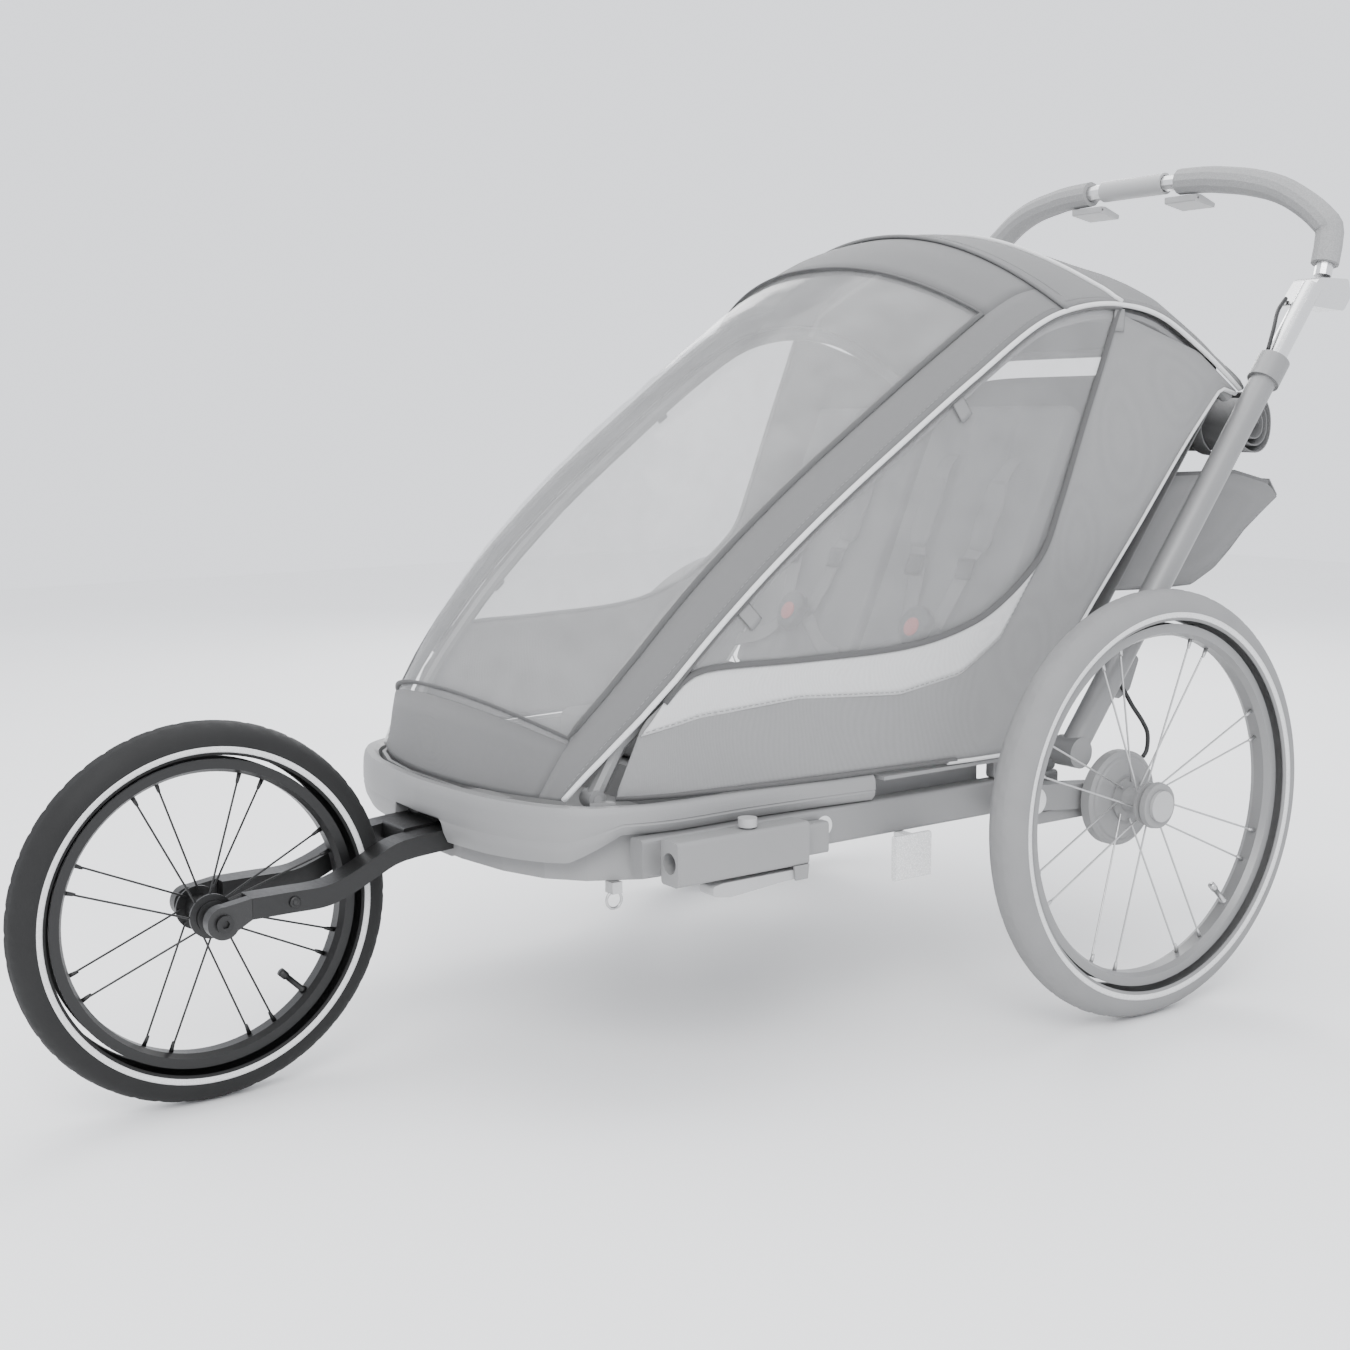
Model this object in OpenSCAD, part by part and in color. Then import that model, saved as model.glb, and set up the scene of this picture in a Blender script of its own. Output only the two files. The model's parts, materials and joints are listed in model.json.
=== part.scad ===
// Two-seat child bicycle trailer with the jogging kit fitted.
// Millimetres, +Z up. The trailer faces -Y and its left side is +X. The floor is z = 0.
// Inside the modules y is measured from the jogger wheel's axle; placed() moves
// everything so that the origin lies on the floor under the middle of the whole trailer.

/* [Wheels] */
// Diameter over the rear tyres, 20 inch
rear_wheel_d = 497; // [400:1:600]
// Width of the rear tyres
rear_tyre_w = 48; // [40:1:58]
// Diameter over the jogger tyre, 16 inch
jog_wheel_d = 396; // [330:1:460]
// Width of the jogger tyre
jog_tyre_w = 46; // [38:1:52]
// Distance from the jogger axle back to the rear axles
wheelbase = 980; // [960:1:1180]
// Distance between the middles of the rear tyres
track = 788; // [760:1:900]
// Depth of the rims from their top edge
rim_depth = 14; // [12:1:20]
// Width of the rims
rim_w = 28; // [22:1:30]
// Diameter of a spoke
spoke_d = 2.2; // [1.8:0.1:3]
// Pairs of spokes in a wheel
spoke_pairs = 8; // [6:1:10]

/* [Body] */
// Width of the fabric body at the seats
body_w = 590; // [560:1:592]
// Height of the tub's rim over the floor
rim_z = 303; // [300:1:306]
// Rise of the side hoops from the tub's rim to the roof
roof_rise = 515; // [430:1:620]
// How far the covers bulge over the side hoops
crown = 106; // [60:1:120]
// Thickness of the covers and side panels
fabric_t = 2.6; // [2:0.1:3]
// Diameter of the hoop tubes
hoop_d = 18; // [16:1:20]
// Wall thickness of the tub
tub_t = 4; // [3:0.5:6]
// Width of the seat bench
seat_w = 490; // [420:1:496]
// Length of the seat backs
seat_back_l = 400; // [320:1:412]

/* [Frame] */
// Height of the side rails
rail_h = 40; // [34:1:44]
// Width of the side rails
rail_w = 22; // [20:1:24]
// Diameter of the rear uprights
upright_d = 32; // [30:1:34]
// Length of the rear uprights over their pivot
upright_l = 565; // [480:1:600]
// Angle of the rear uprights over the level
upright_angle = 52.5; // [50:0.5:56]
// Wall thickness of the rear uprights
upright_t = 3; // [2:0.5:4]
// Diameter of the cross tubes
cross_d = 22; // [20:1:24]
// Diameter of the tow arm's socket
tow_bore_d = 22; // [18:1:24]
// Depth of the tow arm's socket
tow_bore_l = 130; // [90:1:150]

/* [Handle] */
// Diameter of the handlebar tube
bar_d = 22; // [19:1:25]
// Diameter of the handlebar's foam grips
grip_d = 35; // [32:1:42]
// How far the inner tubes stand out of the uprights
handle_out = 118; // [110:1:180]

/* [Jogger arm] */
// Distance between the middles of the two prongs
prong_gap = 82; // [80:1:104]
// Height of a prong
prong_h = 22; // [20:1:26]
// Thickness of a prong
prong_w = 30; // [26:1:30]
// Diameter of the jogger wheel's axle
jog_axle_d = 12; // [10:1:15]

/* [Clearances] */
// Radial clearance of pins, axles and tubes in their bores
fit = 0.06; // [0.02:0.01:0.1]
// Gap between pieces that only lie against each other
gap = 0.3; // [0.2:0.1:0.5]

/* [Hidden] */

// Facets on round parts, and on parts made of flat patches
ROUND = 64;
COARSE = 32;

// Where the wheels are
jog_r = jog_wheel_d / 2;
rear_r = rear_wheel_d / 2;
rear_x = track / 2;

// The uprights' pivot, and the direction the uprights point in
pivot = [wheelbase - 56, 306];
up_dir = [cos(upright_angle), sin(upright_angle)];
upright_x = body_w / 2 + 11 + upright_d / 2;

// The handlebar's rearmost line, and the middle of the trailer's length
bar_y = pivot.x + (upright_l + handle_out + 33) * up_dir.x + 33;
bar_top = pivot.y + (upright_l + handle_out + 33) * up_dir.y + 131;
mid_y = (bar_y + grip_d / 2 - jog_r) / 2;

// Side rails, and the tub between them
rail_x = body_w / 2 - 22;
rail_z = 256;
rail_y = [350, pivot.x + 20];
cross_z = rail_z + 2;
tub_half = rail_x - rail_w / 2 - 6;
tub_low = 226;
bench_z = cross_z + cross_d / 2 + gap;
shelf_z = 286;
swing_pivot = [wheelbase - 125, cross_z];

// The tub's outline from its front middle round to the back: half of the plan
tub_plan = [[62, 264], [134, 274], [188, 293], [223, 322], [tub_half - 5, 372], [tub_half, 430]];

// Side hoop: distance behind the jogger axle, and share of the roof's rise
hoop_line = [[307, 0.01], [340, 0.092], [400, 0.22], [485, 0.387], [585, 0.552], [690, 0.701],
  [795, 0.843], [885, 0.95], [950, 0.99], [1018, 1], [1090, 0.977], [1163, 0.907], [1218, 0.841], [1240,
      0.812]];
// How much narrower than body_w the body is on each side towards its nose
nose_taper = [[290, 100], [307, 90], [340, 68], [375, 50], [410, 39], [480, 28], [600, 15], [800, 0]];
// Share of the crown along the hoops
crown_share = [[307, 0.43], [340, 0.84], [400, 0.96], [480, 1.02], [900, 1.02], [960, 0.96],
  [1018, 0.93], [1060, 0.74], [1100, 0.6], [1240, 0.58]];
// Power of the crown's curve across the body: the rear of the roof is boxy
crown_power = [[900, 2.2], [1018, 1.6], [1060, 2.6], [1110, 5]];
hoop_pivot = [338, rim_z + 5];
roof_front = 930;

// Wheel parts
axle_d = 12.7;
drum_r = 56;
drum_x = rear_x - 58;
hub_out = rear_x + 14;
cap_r = 27;
button_r = 18;
arm_x = [upright_x - 12, upright_x + 10];

// Handle parts
clamp_at = upright_l + handle_out;
tube_d = upright_d - 2 * upright_t - 2 * fit;

// Jogger arm parts
prong_x = prong_gap / 2;
head_y = [212, 330];
head_w = 56;
head_back = 258;
dropout_t = 14;
head_h = 40;
head_z = 250;
receiver_t = 8;

// Small helpers
function unit(v) = v / norm(v);
function reverse(v) = [for (i = [len(v) - 1:-1:0]) v[i]];
function along(t) = pivot + t * up_dir;
function off_axis(t, d) = pivot + t * up_dir + d * [up_dir.y, -up_dir.x];
function catmull(a, b, c, d, t) = 0.5 * (2 * b + (c - a) * t
  + (2 * a - 5 * b + 4 * c - d) * t * t + (3 * b - a - 3 * c + d) * t * t * t);
function spline(p, n) = concat([for (i = [0:len(p) - 2], k = [0:n - 1])
  catmull(p[max(i - 1, 0)], p[i], p[i + 1], p[min(i + 2, len(p) - 1)], k / n)], [p[len(p) - 1]]);
// A closed outline with each corner cut back by r and rounded
function rounded(p, r) = [for (i = [0:len(p) - 1], k = [0:4])
  let (a = p[(i + len(p) - 1) % len(p)], b = p[i], c = p[(i + 1) % len(p)],
    s = b + unit(a - b) * r, e = b + unit(c - b) * r, t = k / 4)
  (1 - t) * (1 - t) * s + 2 * t * (1 - t) * b + t * t * e];
// A counter-clockwise outline moved inwards by d
function inset(p, d) = [for (i = [0:len(p) - 1])
  let (u = unit(p[i] - p[(i + len(p) - 1) % len(p)]), v = unit(p[(i + 1) % len(p)] - p[i]),
    n = unit([-u.y - v.y, u.x + v.x])) p[i] + n * d / (n * [-u.y, u.x])];
function flipped(p) = [for (q = reverse(p)) [-q.x, q.y]];
function half_w(y) = body_w / 2 - lookup(y, nose_taper);

// Moves a piece from the jogger axle's y to the trailer's own origin
module placed() { translate([0, -mid_y, 0]) children(); }
module both() { children(); mirror([1, 0, 0]) children(); }
module side(s) { mirror([s < 0 ? 1 : 0, 0, 0]) children(); }
// Extrudes an outline drawn in y and z along x, between two x values
module across(x0, x1) { translate([x0, 0, 0]) rotate([90, 0, 90]) linear_extrude(x1 - x0) children(); }
// Turned parts about an axle along x at y, z: the outline's x is the radius and its y is x
module turned(y, z) {
  translate([0, y, z]) rotate([0, 90, 0]) rotate_extrude($fn = ROUND) children();
}
module pin_x(x0, x1, y, z, r) { translate([x0, y, z]) rotate([0, 90, 0]) cylinder(h = x1 - x0, r = r,
    $fn = ROUND); }
module rod(p, q, r) {
  d = q - p;
  translate(p) rotate([0, acos(d.z / norm(d)), atan2(d.y, d.x)]) cylinder(h = norm(d), r = r, $fn = COARSE);
}
module bar_y_box(x, z, w, h, y0, y1, r) {
  translate([x, y1, z]) rotate([90, 0, 0]) linear_extrude(y1 - y0)
    polygon(rounded([[-w / 2, -h / 2], [w / 2, -h / 2], [w / 2, h / 2], [-w / 2, h / 2]], r));
}
// A ring's cap: one face, or for a thin sheet a strip of triangles between its two edges
function cap(n, thin) = thin ? [for (k = [0:n / 2 - 2], f = [[k, k + 1, n - 2 - k], [k, n - 2 - k,
    n - 1 - k]]) f]
  : [[for (j = [0:n - 1]) j]];
// A closed skin over rings of points that all have the same count
module skin(rings, thin = false) {
  n = len(rings[0]);
  m = len(rings);
  polyhedron([for (r = rings, p = r) p], concat(cap(n, thin),
    [for (i = [0:m - 2], j = [0:n - 1], f = [[i * n + j, (i + 1) * n + j, i * n + (j + 1) % n],
      [i * n + (j + 1) % n, (i + 1) * n + j, (i + 1) * n + (j + 1) % n]]) f],
    [for (f = cap(n, thin)) [for (j = [len(f) - 1:-1:0]) (m - 1) * n + f[j]]]));
}
// The rings of a round tube along a path; ref is never parallel to the path
function ring_at(path, i, r, n, ref) =
  let (t = unit(path[min(i + 1, len(path) - 1)] - path[max(i - 1, 0)]),
    u = unit(cross(t, ref)), v = cross(t, u))
  [for (k = [0:n - 1]) path[i] + r * (cos(360 * k / n) * u + sin(360 * k / n) * v)];
function tube_rings(path, r, n, ref) = [for (i = [0:len(path) - 1]) ring_at(path, i, r, n, ref)];

// Wheels ---------------------------------------------------------------------------
module tyre(x, y, r, w) {
  seat = r - w / 2 - 15;
  placed() turned(y, r) difference() {
    translate([r - w / 2, x]) circle(r = w / 2, $fn = ROUND);
    translate([r - w / 2, x]) circle(r = w / 2 - 4, $fn = ROUND);
    translate([0, x - w]) square([seat + gap, 2 * w]);
  }
}
module rim(x, y, r, w) {
  top = r - w / 2 - 15;
  low = top - rim_depth;
  placed() turned(y, r) polygon([[low, x - 7], [low + 4, x - rim_w / 2], [top, x - rim_w / 2],
    [top, x - rim_w / 2 + 3], [top - rim_depth / 2, x - rim_w / 2 + 4], [top - rim_depth / 2,
        x + rim_w / 2 - 4],
    [top, x + rim_w / 2 - 3], [top, x + rim_w / 2], [low + 4, x + rim_w / 2], [low, x + 7]]);
}
// Pairs of spokes that lie together at the rim and part towards the two flanges
module spokes(x, y, r, w, flange_r, flange_in, flange_out) {
  low = r - w / 2 - 15 - rim_depth;
  placed() for (k = [0:spoke_pairs - 1], s = [-1, 1]) {
    a = (k + 0.5) * 360 / spoke_pairs;
    hub_a = a + 25 * s;
    rim_a = a + 5.5 * s;
    fx = s > 0 ? flange_out - spoke_d / 2 - 0.2 : flange_in + spoke_d / 2 + 0.2;
    rod([fx, y + flange_r * cos(hub_a), r + flange_r * sin(hub_a)],
      [x + 2.5 * s, y + (low - gap) * cos(rim_a), r + (low - gap) * sin(rim_a)], spoke_d / 2);
  }
}
flange_t = 3;
rear_flange = [rear_x - 34, rear_x - 4];
rear_flange_r = 26;
jog_flange = 22;
jog_flange_r = 23;
module rear_tyre(s) { color("dimgray") side(s) tyre(rear_x, wheelbase, rear_r, rear_tyre_w); }
module rear_rim(s) { color("gray") side(s) rim(rear_x, wheelbase, rear_r, rear_tyre_w); }
module rear_spokes(s) {
  color("silver") side(s) spokes(rear_x, wheelbase, rear_r, rear_tyre_w, rear_flange_r - 4,
    rear_flange[0] + flange_t, rear_flange[1]);
}
module rear_hub(s) {
  bore = axle_d / 2 + fit;
  a = rear_flange[0];
  b = rear_flange[1];
  color("dimgray") side(s) placed() turned(wheelbase, rear_r) polygon([[bore, a], [rear_flange_r, a],
    [rear_flange_r, a + flange_t], [15, a + flange_t], [13, a + 12], [13, b - 8], [15, b],
    [rear_flange_r - 1, b], [rear_flange_r - 1, b + flange_t], [20, b + flange_t + 2], [cap_r - 2,
        hub_out - 10],
    [cap_r, hub_out - 7], [cap_r - 1, hub_out - 1], [cap_r - 3, hub_out], [button_r, hub_out],
    [button_r, hub_out - 9], [bore, hub_out - 9]]);
}
module brake_drum(s) {
  color("dimgray") side(s) placed() turned(wheelbase, rear_r) polygon([[14, drum_x], [drum_r - 3, drum_x],
    [drum_r, drum_x + 3], [drum_r, drum_x + 15], [drum_r - 4, drum_x + 18], [drum_r - 7, drum_x + 18],
    [drum_r - 9, drum_x + 20], [30, rear_flange[0] - gap], [14, rear_flange[0] - gap]]);
}
module hub_button(s) {
  color("lightgray") side(s) placed() {
    pin_x(hub_out - 5, hub_out + 4, wheelbase, rear_r, button_r - fit);
  }
}
module axle(s) {
  color("silver") side(s) placed() {
    pin_x(arm_x[0] - 6, hub_out - 9, wheelbase, rear_r, axle_d / 2);
    pin_x(arm_x[0] - 12, arm_x[0] - 6, wheelbase, rear_r, 11);
  }
}
module swing_arm(s) {
  front = swing_pivot;
  rear = [wheelbase, rear_r];
  color("dimgray") side(s) placed() difference() {
    union() {
      across(arm_x[0], arm_x[1]) polygon(rounded([[front.x, front.y - 12], [rear.x - 16, rear.y - 13],
        [rear.x - 16, rear.y + 17], [front.x, front.y + 18]], 3));
      pin_x(arm_x[0], arm_x[1], front.x, front.y, 20);
      pin_x(arm_x[0], arm_x[1], rear.x, rear.y, 22);
      across(arm_x[0] + 5, arm_x[1] - 5) polygon([[front.x + 4, front.y - 30], [rear.x - 10, rear.y - 21],
        [rear.x - 10, rear.y - 9], [front.x + 4, front.y - 16]]);
    }
    pin_x(arm_x[0] - 1, arm_x[1] + 1, front.x, front.y, cross_d / 2 + fit);
    pin_x(arm_x[0] - 1, arm_x[1] + 1, rear.x, rear.y, axle_d / 2 + fit);
  }
}
module jog_tyre() { color([0.1, 0.1, 0.1]) tyre(0, 0, jog_r, jog_tyre_w); }
module jog_rim() { color([0.12, 0.12, 0.12]) rim(0, 0, jog_r, jog_tyre_w); }
module jog_spokes() {
  color([0.2, 0.2, 0.2]) spokes(0, 0, jog_r, jog_tyre_w, jog_flange_r - 4, -jog_flange + flange_t,
    jog_flange - flange_t);
}
module jog_hub() {
  bore = jog_axle_d / 2 + fit;
  end = prong_x + prong_w / 2 - dropout_t - 1;
  half = [[bore, end], [12, end], [12, jog_flange + 6],
    [17, jog_flange + 5], [17, jog_flange + 1], [jog_flange_r, jog_flange],
    [jog_flange_r, jog_flange - flange_t], [14, jog_flange - flange_t], [12, 8], [12, 0], [bore, 0]];
  color([0.1, 0.1, 0.1]) placed() turned(0, jog_r)
    polygon(concat(half, reverse([for (p = half) if (p.y > 0) [p.x, -p.y]])));
}

// Jogger arm -----------------------------------------------------------------------
// The prong's middle line from the dropout back to the head
prong_line = [[30, 208], [70, 208], [107, 208], [128, 213], [148, 221], [171, 232], [200, 243],
    [head_back, head_z - 2]];
module prong_outline() {
  p = spline(prong_line, 4);
  h = prong_h / 2;
  polygon(concat([for (q = p) [q.x, q.y - h]], reverse([for (q = p) [q.x, q.y + h]])));
}
module jog_arm() {
  inner = prong_x - prong_w / 2;
  color([0.1, 0.1, 0.1]) placed() {
    both() across(inner, inner + prong_w) prong_outline();
    across(-inner, inner) polygon(rounded([[head_y[0], head_z - 10], [head_y[0] + 12, head_z - 16],
      [head_back, head_z - 16], [head_back, head_z + 12], [head_y[0] + 2, head_z + 9]], 2));
    bar_y_box(0, head_z, head_w, head_h, head_back, head_y[1], 5);
  }
}
module jog_dropouts() {
  outer = prong_x + prong_w / 2;
  inner = outer - dropout_t;
  mid = prong_line[0].y;
  color([0.12, 0.12, 0.12]) placed() both() {
    difference() {
      union() {
        pin_x(inner, outer, 0, jog_r, 17);
        across(inner, outer) polygon([[6, jog_r - 14], [30 - gap, mid - prong_h / 2], [30 - gap,
            mid + prong_h / 2],
          [-4, jog_r + 16]]);
      }
      pin_x(inner - 1, outer + 1, 0, jog_r, jog_axle_d / 2 + fit);
    }
    pin_x(outer + gap, outer + 2.5, 75, mid, 4);
  }
}
module jog_axle() {
  end = prong_x + prong_w / 2;
  color("dimgray") placed() {
    pin_x(-end, end, 0, jog_r, jog_axle_d / 2);
    both() difference() {
      pin_x(end, end + 4, 0, jog_r, 9);
      across(end + 1, end + 5) translate([0, jog_r]) circle(r = 4.5, $fn = 6);
    }
  }
}
module jog_receiver() {
  w = head_w + 2 * (gap + receiver_t);
  h = head_h + 2 * (gap + receiver_t);
  y0 = 268;
  color("gray") placed() difference() {
    bar_y_box(0, head_z, w, h, y0, head_y[1] + 12, 6);
    bar_y_box(0, head_z, head_w + 2 * gap, head_h + 2 * gap, y0 - 1, head_y[1] + gap, 5);
  }
}

// Chassis --------------------------------------------------------------------------
function tub_outline(back) = concat(tub_plan, [[tub_half, back]], flipped(concat(tub_plan, [[tub_half,
    back]])));
tub_mid = 560;
tub_back = swing_pivot.x - cross_d / 2 - 6;
module tub_slab(outline, z0, z1) { translate([0, 0, z0]) linear_extrude(z1 - z0) polygon(outline); }
module floor_tray() {
  notch = head_w / 2 + gap + receiver_t + gap;
  notch_top = head_z + head_h / 2 + gap + receiver_t + gap;
  color("gray") placed() difference() {
    union() {
      tub_slab(tub_outline(tub_mid), tub_low, shelf_z);
      tub_slab(tub_outline(tub_back), bench_z, rim_z);
      both() translate([tub_half - 1, 664, rim_z - 4])
        linear_extrude(4) square([body_w / 2 - 3 - tub_half, tub_back - 664]);
    }
    translate([-notch, 0, 0]) cube([2 * notch, head_y[1] + 12 + gap, notch_top]);
    difference() {
      tub_slab(inset(tub_outline(tub_mid), tub_t), tub_low + tub_t, shelf_z + 1);
      translate([-notch - tub_t, 0, 0]) cube([2 * (notch + tub_t), head_y[1] + 12 + gap + tub_t,
          notch_top + tub_t]);
    }
    tub_slab(inset(tub_outline(tub_mid), tub_t), shelf_z, rim_z + 1);
    tub_slab(inset(tub_outline(tub_back), tub_t), bench_z + tub_t, rim_z + 1);
  }
}
// The bumper's middle line runs round the nose and back along the tub
bumper_t = 20;
bumper_back = 655;
function bumper_x(y) = half_w(y) - 6;
bumper_half = concat([[0, 250], [70, 254], [140, 263], [200, 284], [232, 308], [254, 348]],
  [for (y = [400:85:bumper_back]) [max(bumper_x(y), tub_half + gap + bumper_t / 2), y]],
  [[bumper_x(bumper_back), bumper_back]]);
function bumper_low(y) = lookup(y, [[250, rim_z - 58], [300, rim_z - 54], [345, rim_z - 26], [400,
    rim_z - 26]]);
function bumper_section(p, t, z0, z1) = let (n = [t.y, -t.x], b = bumper_t / 2, h = z1 - z0)
  [for (q = [[-1, 0.1], [-0.6, 0], [0.3, 0], [0.8, 0.18], [1, 0.45], [0.92, 0.8], [0.5, 1], [-0.4, 1],
      [-0.9, 0.93]])
    [p.x + n.x * q.x * b, p.y + n.y * q.x * b, z0 + q.y * h]];
module bumper() {
  half = spline(bumper_half, 3);
  path = concat(reverse([for (p = half) if (p.x > 0) [-p.x, p.y]]), half);
  notch = prong_x + prong_w / 2 + 1;
  color("gray") placed() difference() {
    skin([for (i = [0:len(path) - 1]) let (t = unit(path[min(i + 1, len(path) - 1)] - path[max(i - 1, 0)]))
      bumper_section(path[i], t, bumper_low(path[i].y), rim_z + 3)]);
    translate([-notch, bumper_half[0].y - bumper_t, 0]) cube([2 * notch, 2 * bumper_t,
        head_z + head_h / 2 + 1]);
  }
}
module side_rails() {
  wall = 2.5;
  color("gray") placed() both() difference() {
    bar_y_box(rail_x, rail_z, rail_w, rail_h, rail_y[0], rail_y[1], 5);
    bar_y_box(rail_x, rail_z, rail_w - 2 * wall, rail_h - 2 * wall, rail_y[0] + 8, rail_y[1] - 8, 3);
    for (y = [tub_mid + 25, swing_pivot.x]) pin_x(0, rail_x + rail_w, y, cross_z, cross_d / 2 + fit);
  }
}
module cross_tubes() {
  x1 = rail_x + rail_w / 2;
  color("silver") placed() {
    pin_x(-x1, x1, tub_mid + 25, cross_z, cross_d / 2);
    pin_x(-arm_x[1], arm_x[1], swing_pivot.x, cross_z, cross_d / 2);
    both() pin_x(arm_x[1] + gap, arm_x[1] + 4, swing_pivot.x, cross_z, cross_d / 2 + 4);
  }
}
pivot_tube_d = 28;
seat_rod_r = 6;
module pivot_brackets() {
  r = pivot_tube_d / 2 + fit;
  top = rail_z + rail_h / 2;
  color("dimgray") placed() both() {
    difference() {
      across(rail_x - 6, rail_x + 6) polygon(rounded([[seat_hinge.x - 16, top + gap], [pivot.x + 20,
          top + gap],
        [pivot.x + 24, pivot.y + 8], [pivot.x, pivot.y + 25], [seat_hinge.x + 12, seat_hinge.y + 12],
        [seat_hinge.x - 14, seat_hinge.y + 8]], 6));
      pin_x(rail_x - 7, rail_x + 7, pivot.x, pivot.y, r);
    }
    hoop_pin();
  }
  color("dimgray") placed() pin_x(-rail_x + 5, rail_x - 5, seat_hinge.x, seat_hinge.y, seat_rod_r);
}
hoop_in = 14.5;
hoop_pivot_x = half_w(hoop_pivot.x) - hoop_in;
module hoop_pin() {
  eye = hoop_d / 2 + 1;
  pin_x(hoop_pivot_x - eye, hoop_pivot_x + eye + gap + 0.4, hoop_pivot.x, hoop_pivot.y, 5);
  intersection() {
    pin_x(hoop_pivot_x + eye + gap, body_w / 2, hoop_pivot.x, hoop_pivot.y - 4, 13);
    tub_slab(inset(tub_outline(tub_mid), tub_t + gap), shelf_z, rim_z + 3);
  }
}
module hitch_box() {
  x0 = rail_x + rail_w / 2 + gap;
  w = tow_bore_d + 8;
  color("dimgray") placed() {
    difference() {
      bar_y_box(x0 + w / 2, 252, w, 46, 372, 540, 5);
      translate([x0 + w / 2, 372 + tow_bore_l, 252]) rotate([90, 0, 0])
        cylinder(h = tow_bore_l + 1, r = tow_bore_d / 2, $fn = ROUND);
      translate([x0 + w / 2, 470, 260]) cylinder(h = 20, r = 5 + fit, $fn = ROUND);
    }
    bar_y_box(x0 + 8, 250, 16, 34, 540 + gap, 578, 4);
    for (x = [x0, x0 + w - 2.5]) across(x, x + 2.5) polygon([[520, 229.5], [540, 229.5], [538, 214],
        [522, 214]]);
    pin_x(x0, x0 + w, hitch_hinge.x, hitch_hinge.y, 2.5 - fit);
  }
}
module hitch_knob() {
  x = rail_x + rail_w / 2 + gap + tow_bore_d / 2 + 4;
  color("lightgray") placed() {
    translate([x, 470, 264]) cylinder(h = 14, r = 5, $fn = ROUND);
    translate([x, 470, 277]) cylinder(h = 9, r = 10, $fn = ROUND);
  }
}
hitch_hinge = [530, 221];
module hitch_lever() {
  x0 = rail_x + rail_w / 2 + 3;
  color("lightgray") placed() difference() {
    across(x0, x0 + 24) polygon(rounded([[418, 213], [438, 209], [500, 214], [535, 216], [535, 225],
        [430, 225],
      [418, 223]], 3));
    pin_x(x0 - 1, x0 + 25, hitch_hinge.x, hitch_hinge.y, 2.5);
  }
}
module tie_rings() {
  color("silver") placed() both() {
    translate([238, 345, tub_low - 6 - gap]) cube([14, 12, 12], center = true);
    translate([238, 345, tub_low - 20]) rotate([0, 90, 0])
      rotate_extrude($fn = ROUND) translate([9, 0]) circle(r = 1.5, $fn = 16);
  }
}
module reflectors() {
  color("whitesmoke") placed() both() {
    bar_y_box(rail_x + 28, 212, 8, 50, 670, 722, 3);
    translate([rail_x + 5, 690, rail_z - rail_h / 2 - gap - 6]) cube([19 - gap, 12, 6]);
  }
}
module seat_base() {
  z = bench_z + tub_t + gap;
  color("dimgray") placed() across(-seat_w / 2, seat_w / 2) polygon(rounded([[tub_mid + 4, z],
    [tub_back - tub_t - gap, z], [tub_back - tub_t - gap, z + 44], [tub_mid + 16, z + 56], [tub_mid + 4,
        z + 46]], 5));
}

// Rear frame and handlebar -----------------------------------------------------------
module upright_space(x, t0, t1, r) {
  p = along(t0);
  translate([x, p.x, p.y]) rotate([upright_angle - 90, 0, 0]) cylinder(h = t1 - t0, r = r, $fn = ROUND);
}
module rear_frame() {
  collar = 30;
  color("gray") placed() difference() {
    union() {
      pin_x(-upright_x, upright_x, pivot.x, pivot.y, pivot_tube_d / 2);
      both() {
        pin_x(upright_x - upright_d / 2, upright_x + upright_d / 2, pivot.x, pivot.y, upright_d / 2 + 2);
        upright_space(upright_x, 0, upright_l, upright_d / 2);
        upright_space(upright_x, upright_l - collar, upright_l + 4, upright_d / 2 + 4);
      }
    }
    both() upright_space(upright_x, upright_d, upright_l + 5, upright_d / 2 - upright_t);
  }
}
module frame_boots() {
  a = off_axis(95, upright_d / 2 + gap);
  color("dimgray") placed() both() {
    across(upright_x - 24, upright_x - 4) polygon(rounded([a, off_axis(150, upright_d / 2 + gap),
        off_axis(150, 34),
      off_axis(112, 44), off_axis(92, 34)], 4));
    across(upright_x - 26, upright_x - 24.5) polygon([[a.x + 6, a.y + 12], [a.x + 24, a.y + 8], [a.x + 8,
        a.y - 24],
      [a.x - 12, a.y - 60], [a.x - 28, a.y - 54], [a.x - 10, a.y - 22]]);
  }
}
// The handlebar's middle line from a clamp up and round to the centre: x, y and z
bar_foot = [bar_y - 16, bar_top - 142];
bar_half = [[upright_x - 12, bar_foot.x, bar_foot.y], [upright_x - 16, bar_y + 1, bar_top - 88],
  [upright_x - 25, bar_y - 1, bar_top - 70], [upright_x - 54, bar_y, bar_top - 47],
  [upright_x - 90, bar_y - 3, bar_top - 26], [upright_x - 131, bar_y - 9, bar_top - 13],
  [upright_x - 170, bar_y - 11, bar_top - 6], [120, bar_y - 13, bar_top - 2], [58, bar_y - 14, bar_top],
      [0, bar_y - 14, bar_top]];
bar_spline = spline(bar_half, 3);
sleeve_half = 54;
function whole_bar(half) = concat(half, reverse([for (p = half) if (p.x > 0.01) [-p.x, p.y, p.z]]));
// Inner tubes, with the clamp that carries the handlebar behind their top
module handle_tubes() {
  f = bar_foot;
  color("silver") placed() both() {
    upright_space(upright_x, upright_l - 270, clamp_at, tube_d / 2);
    across(upright_x - 26, upright_x + 10) polygon(rounded([[f.x - 66, f.y - 38], [f.x + 16, f.y - 44],
        [f.x + 30, f.y - 26],
      [f.x + 24, f.y - 4], [f.x - 36, f.y - 4]], 5));
  }
}
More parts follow.
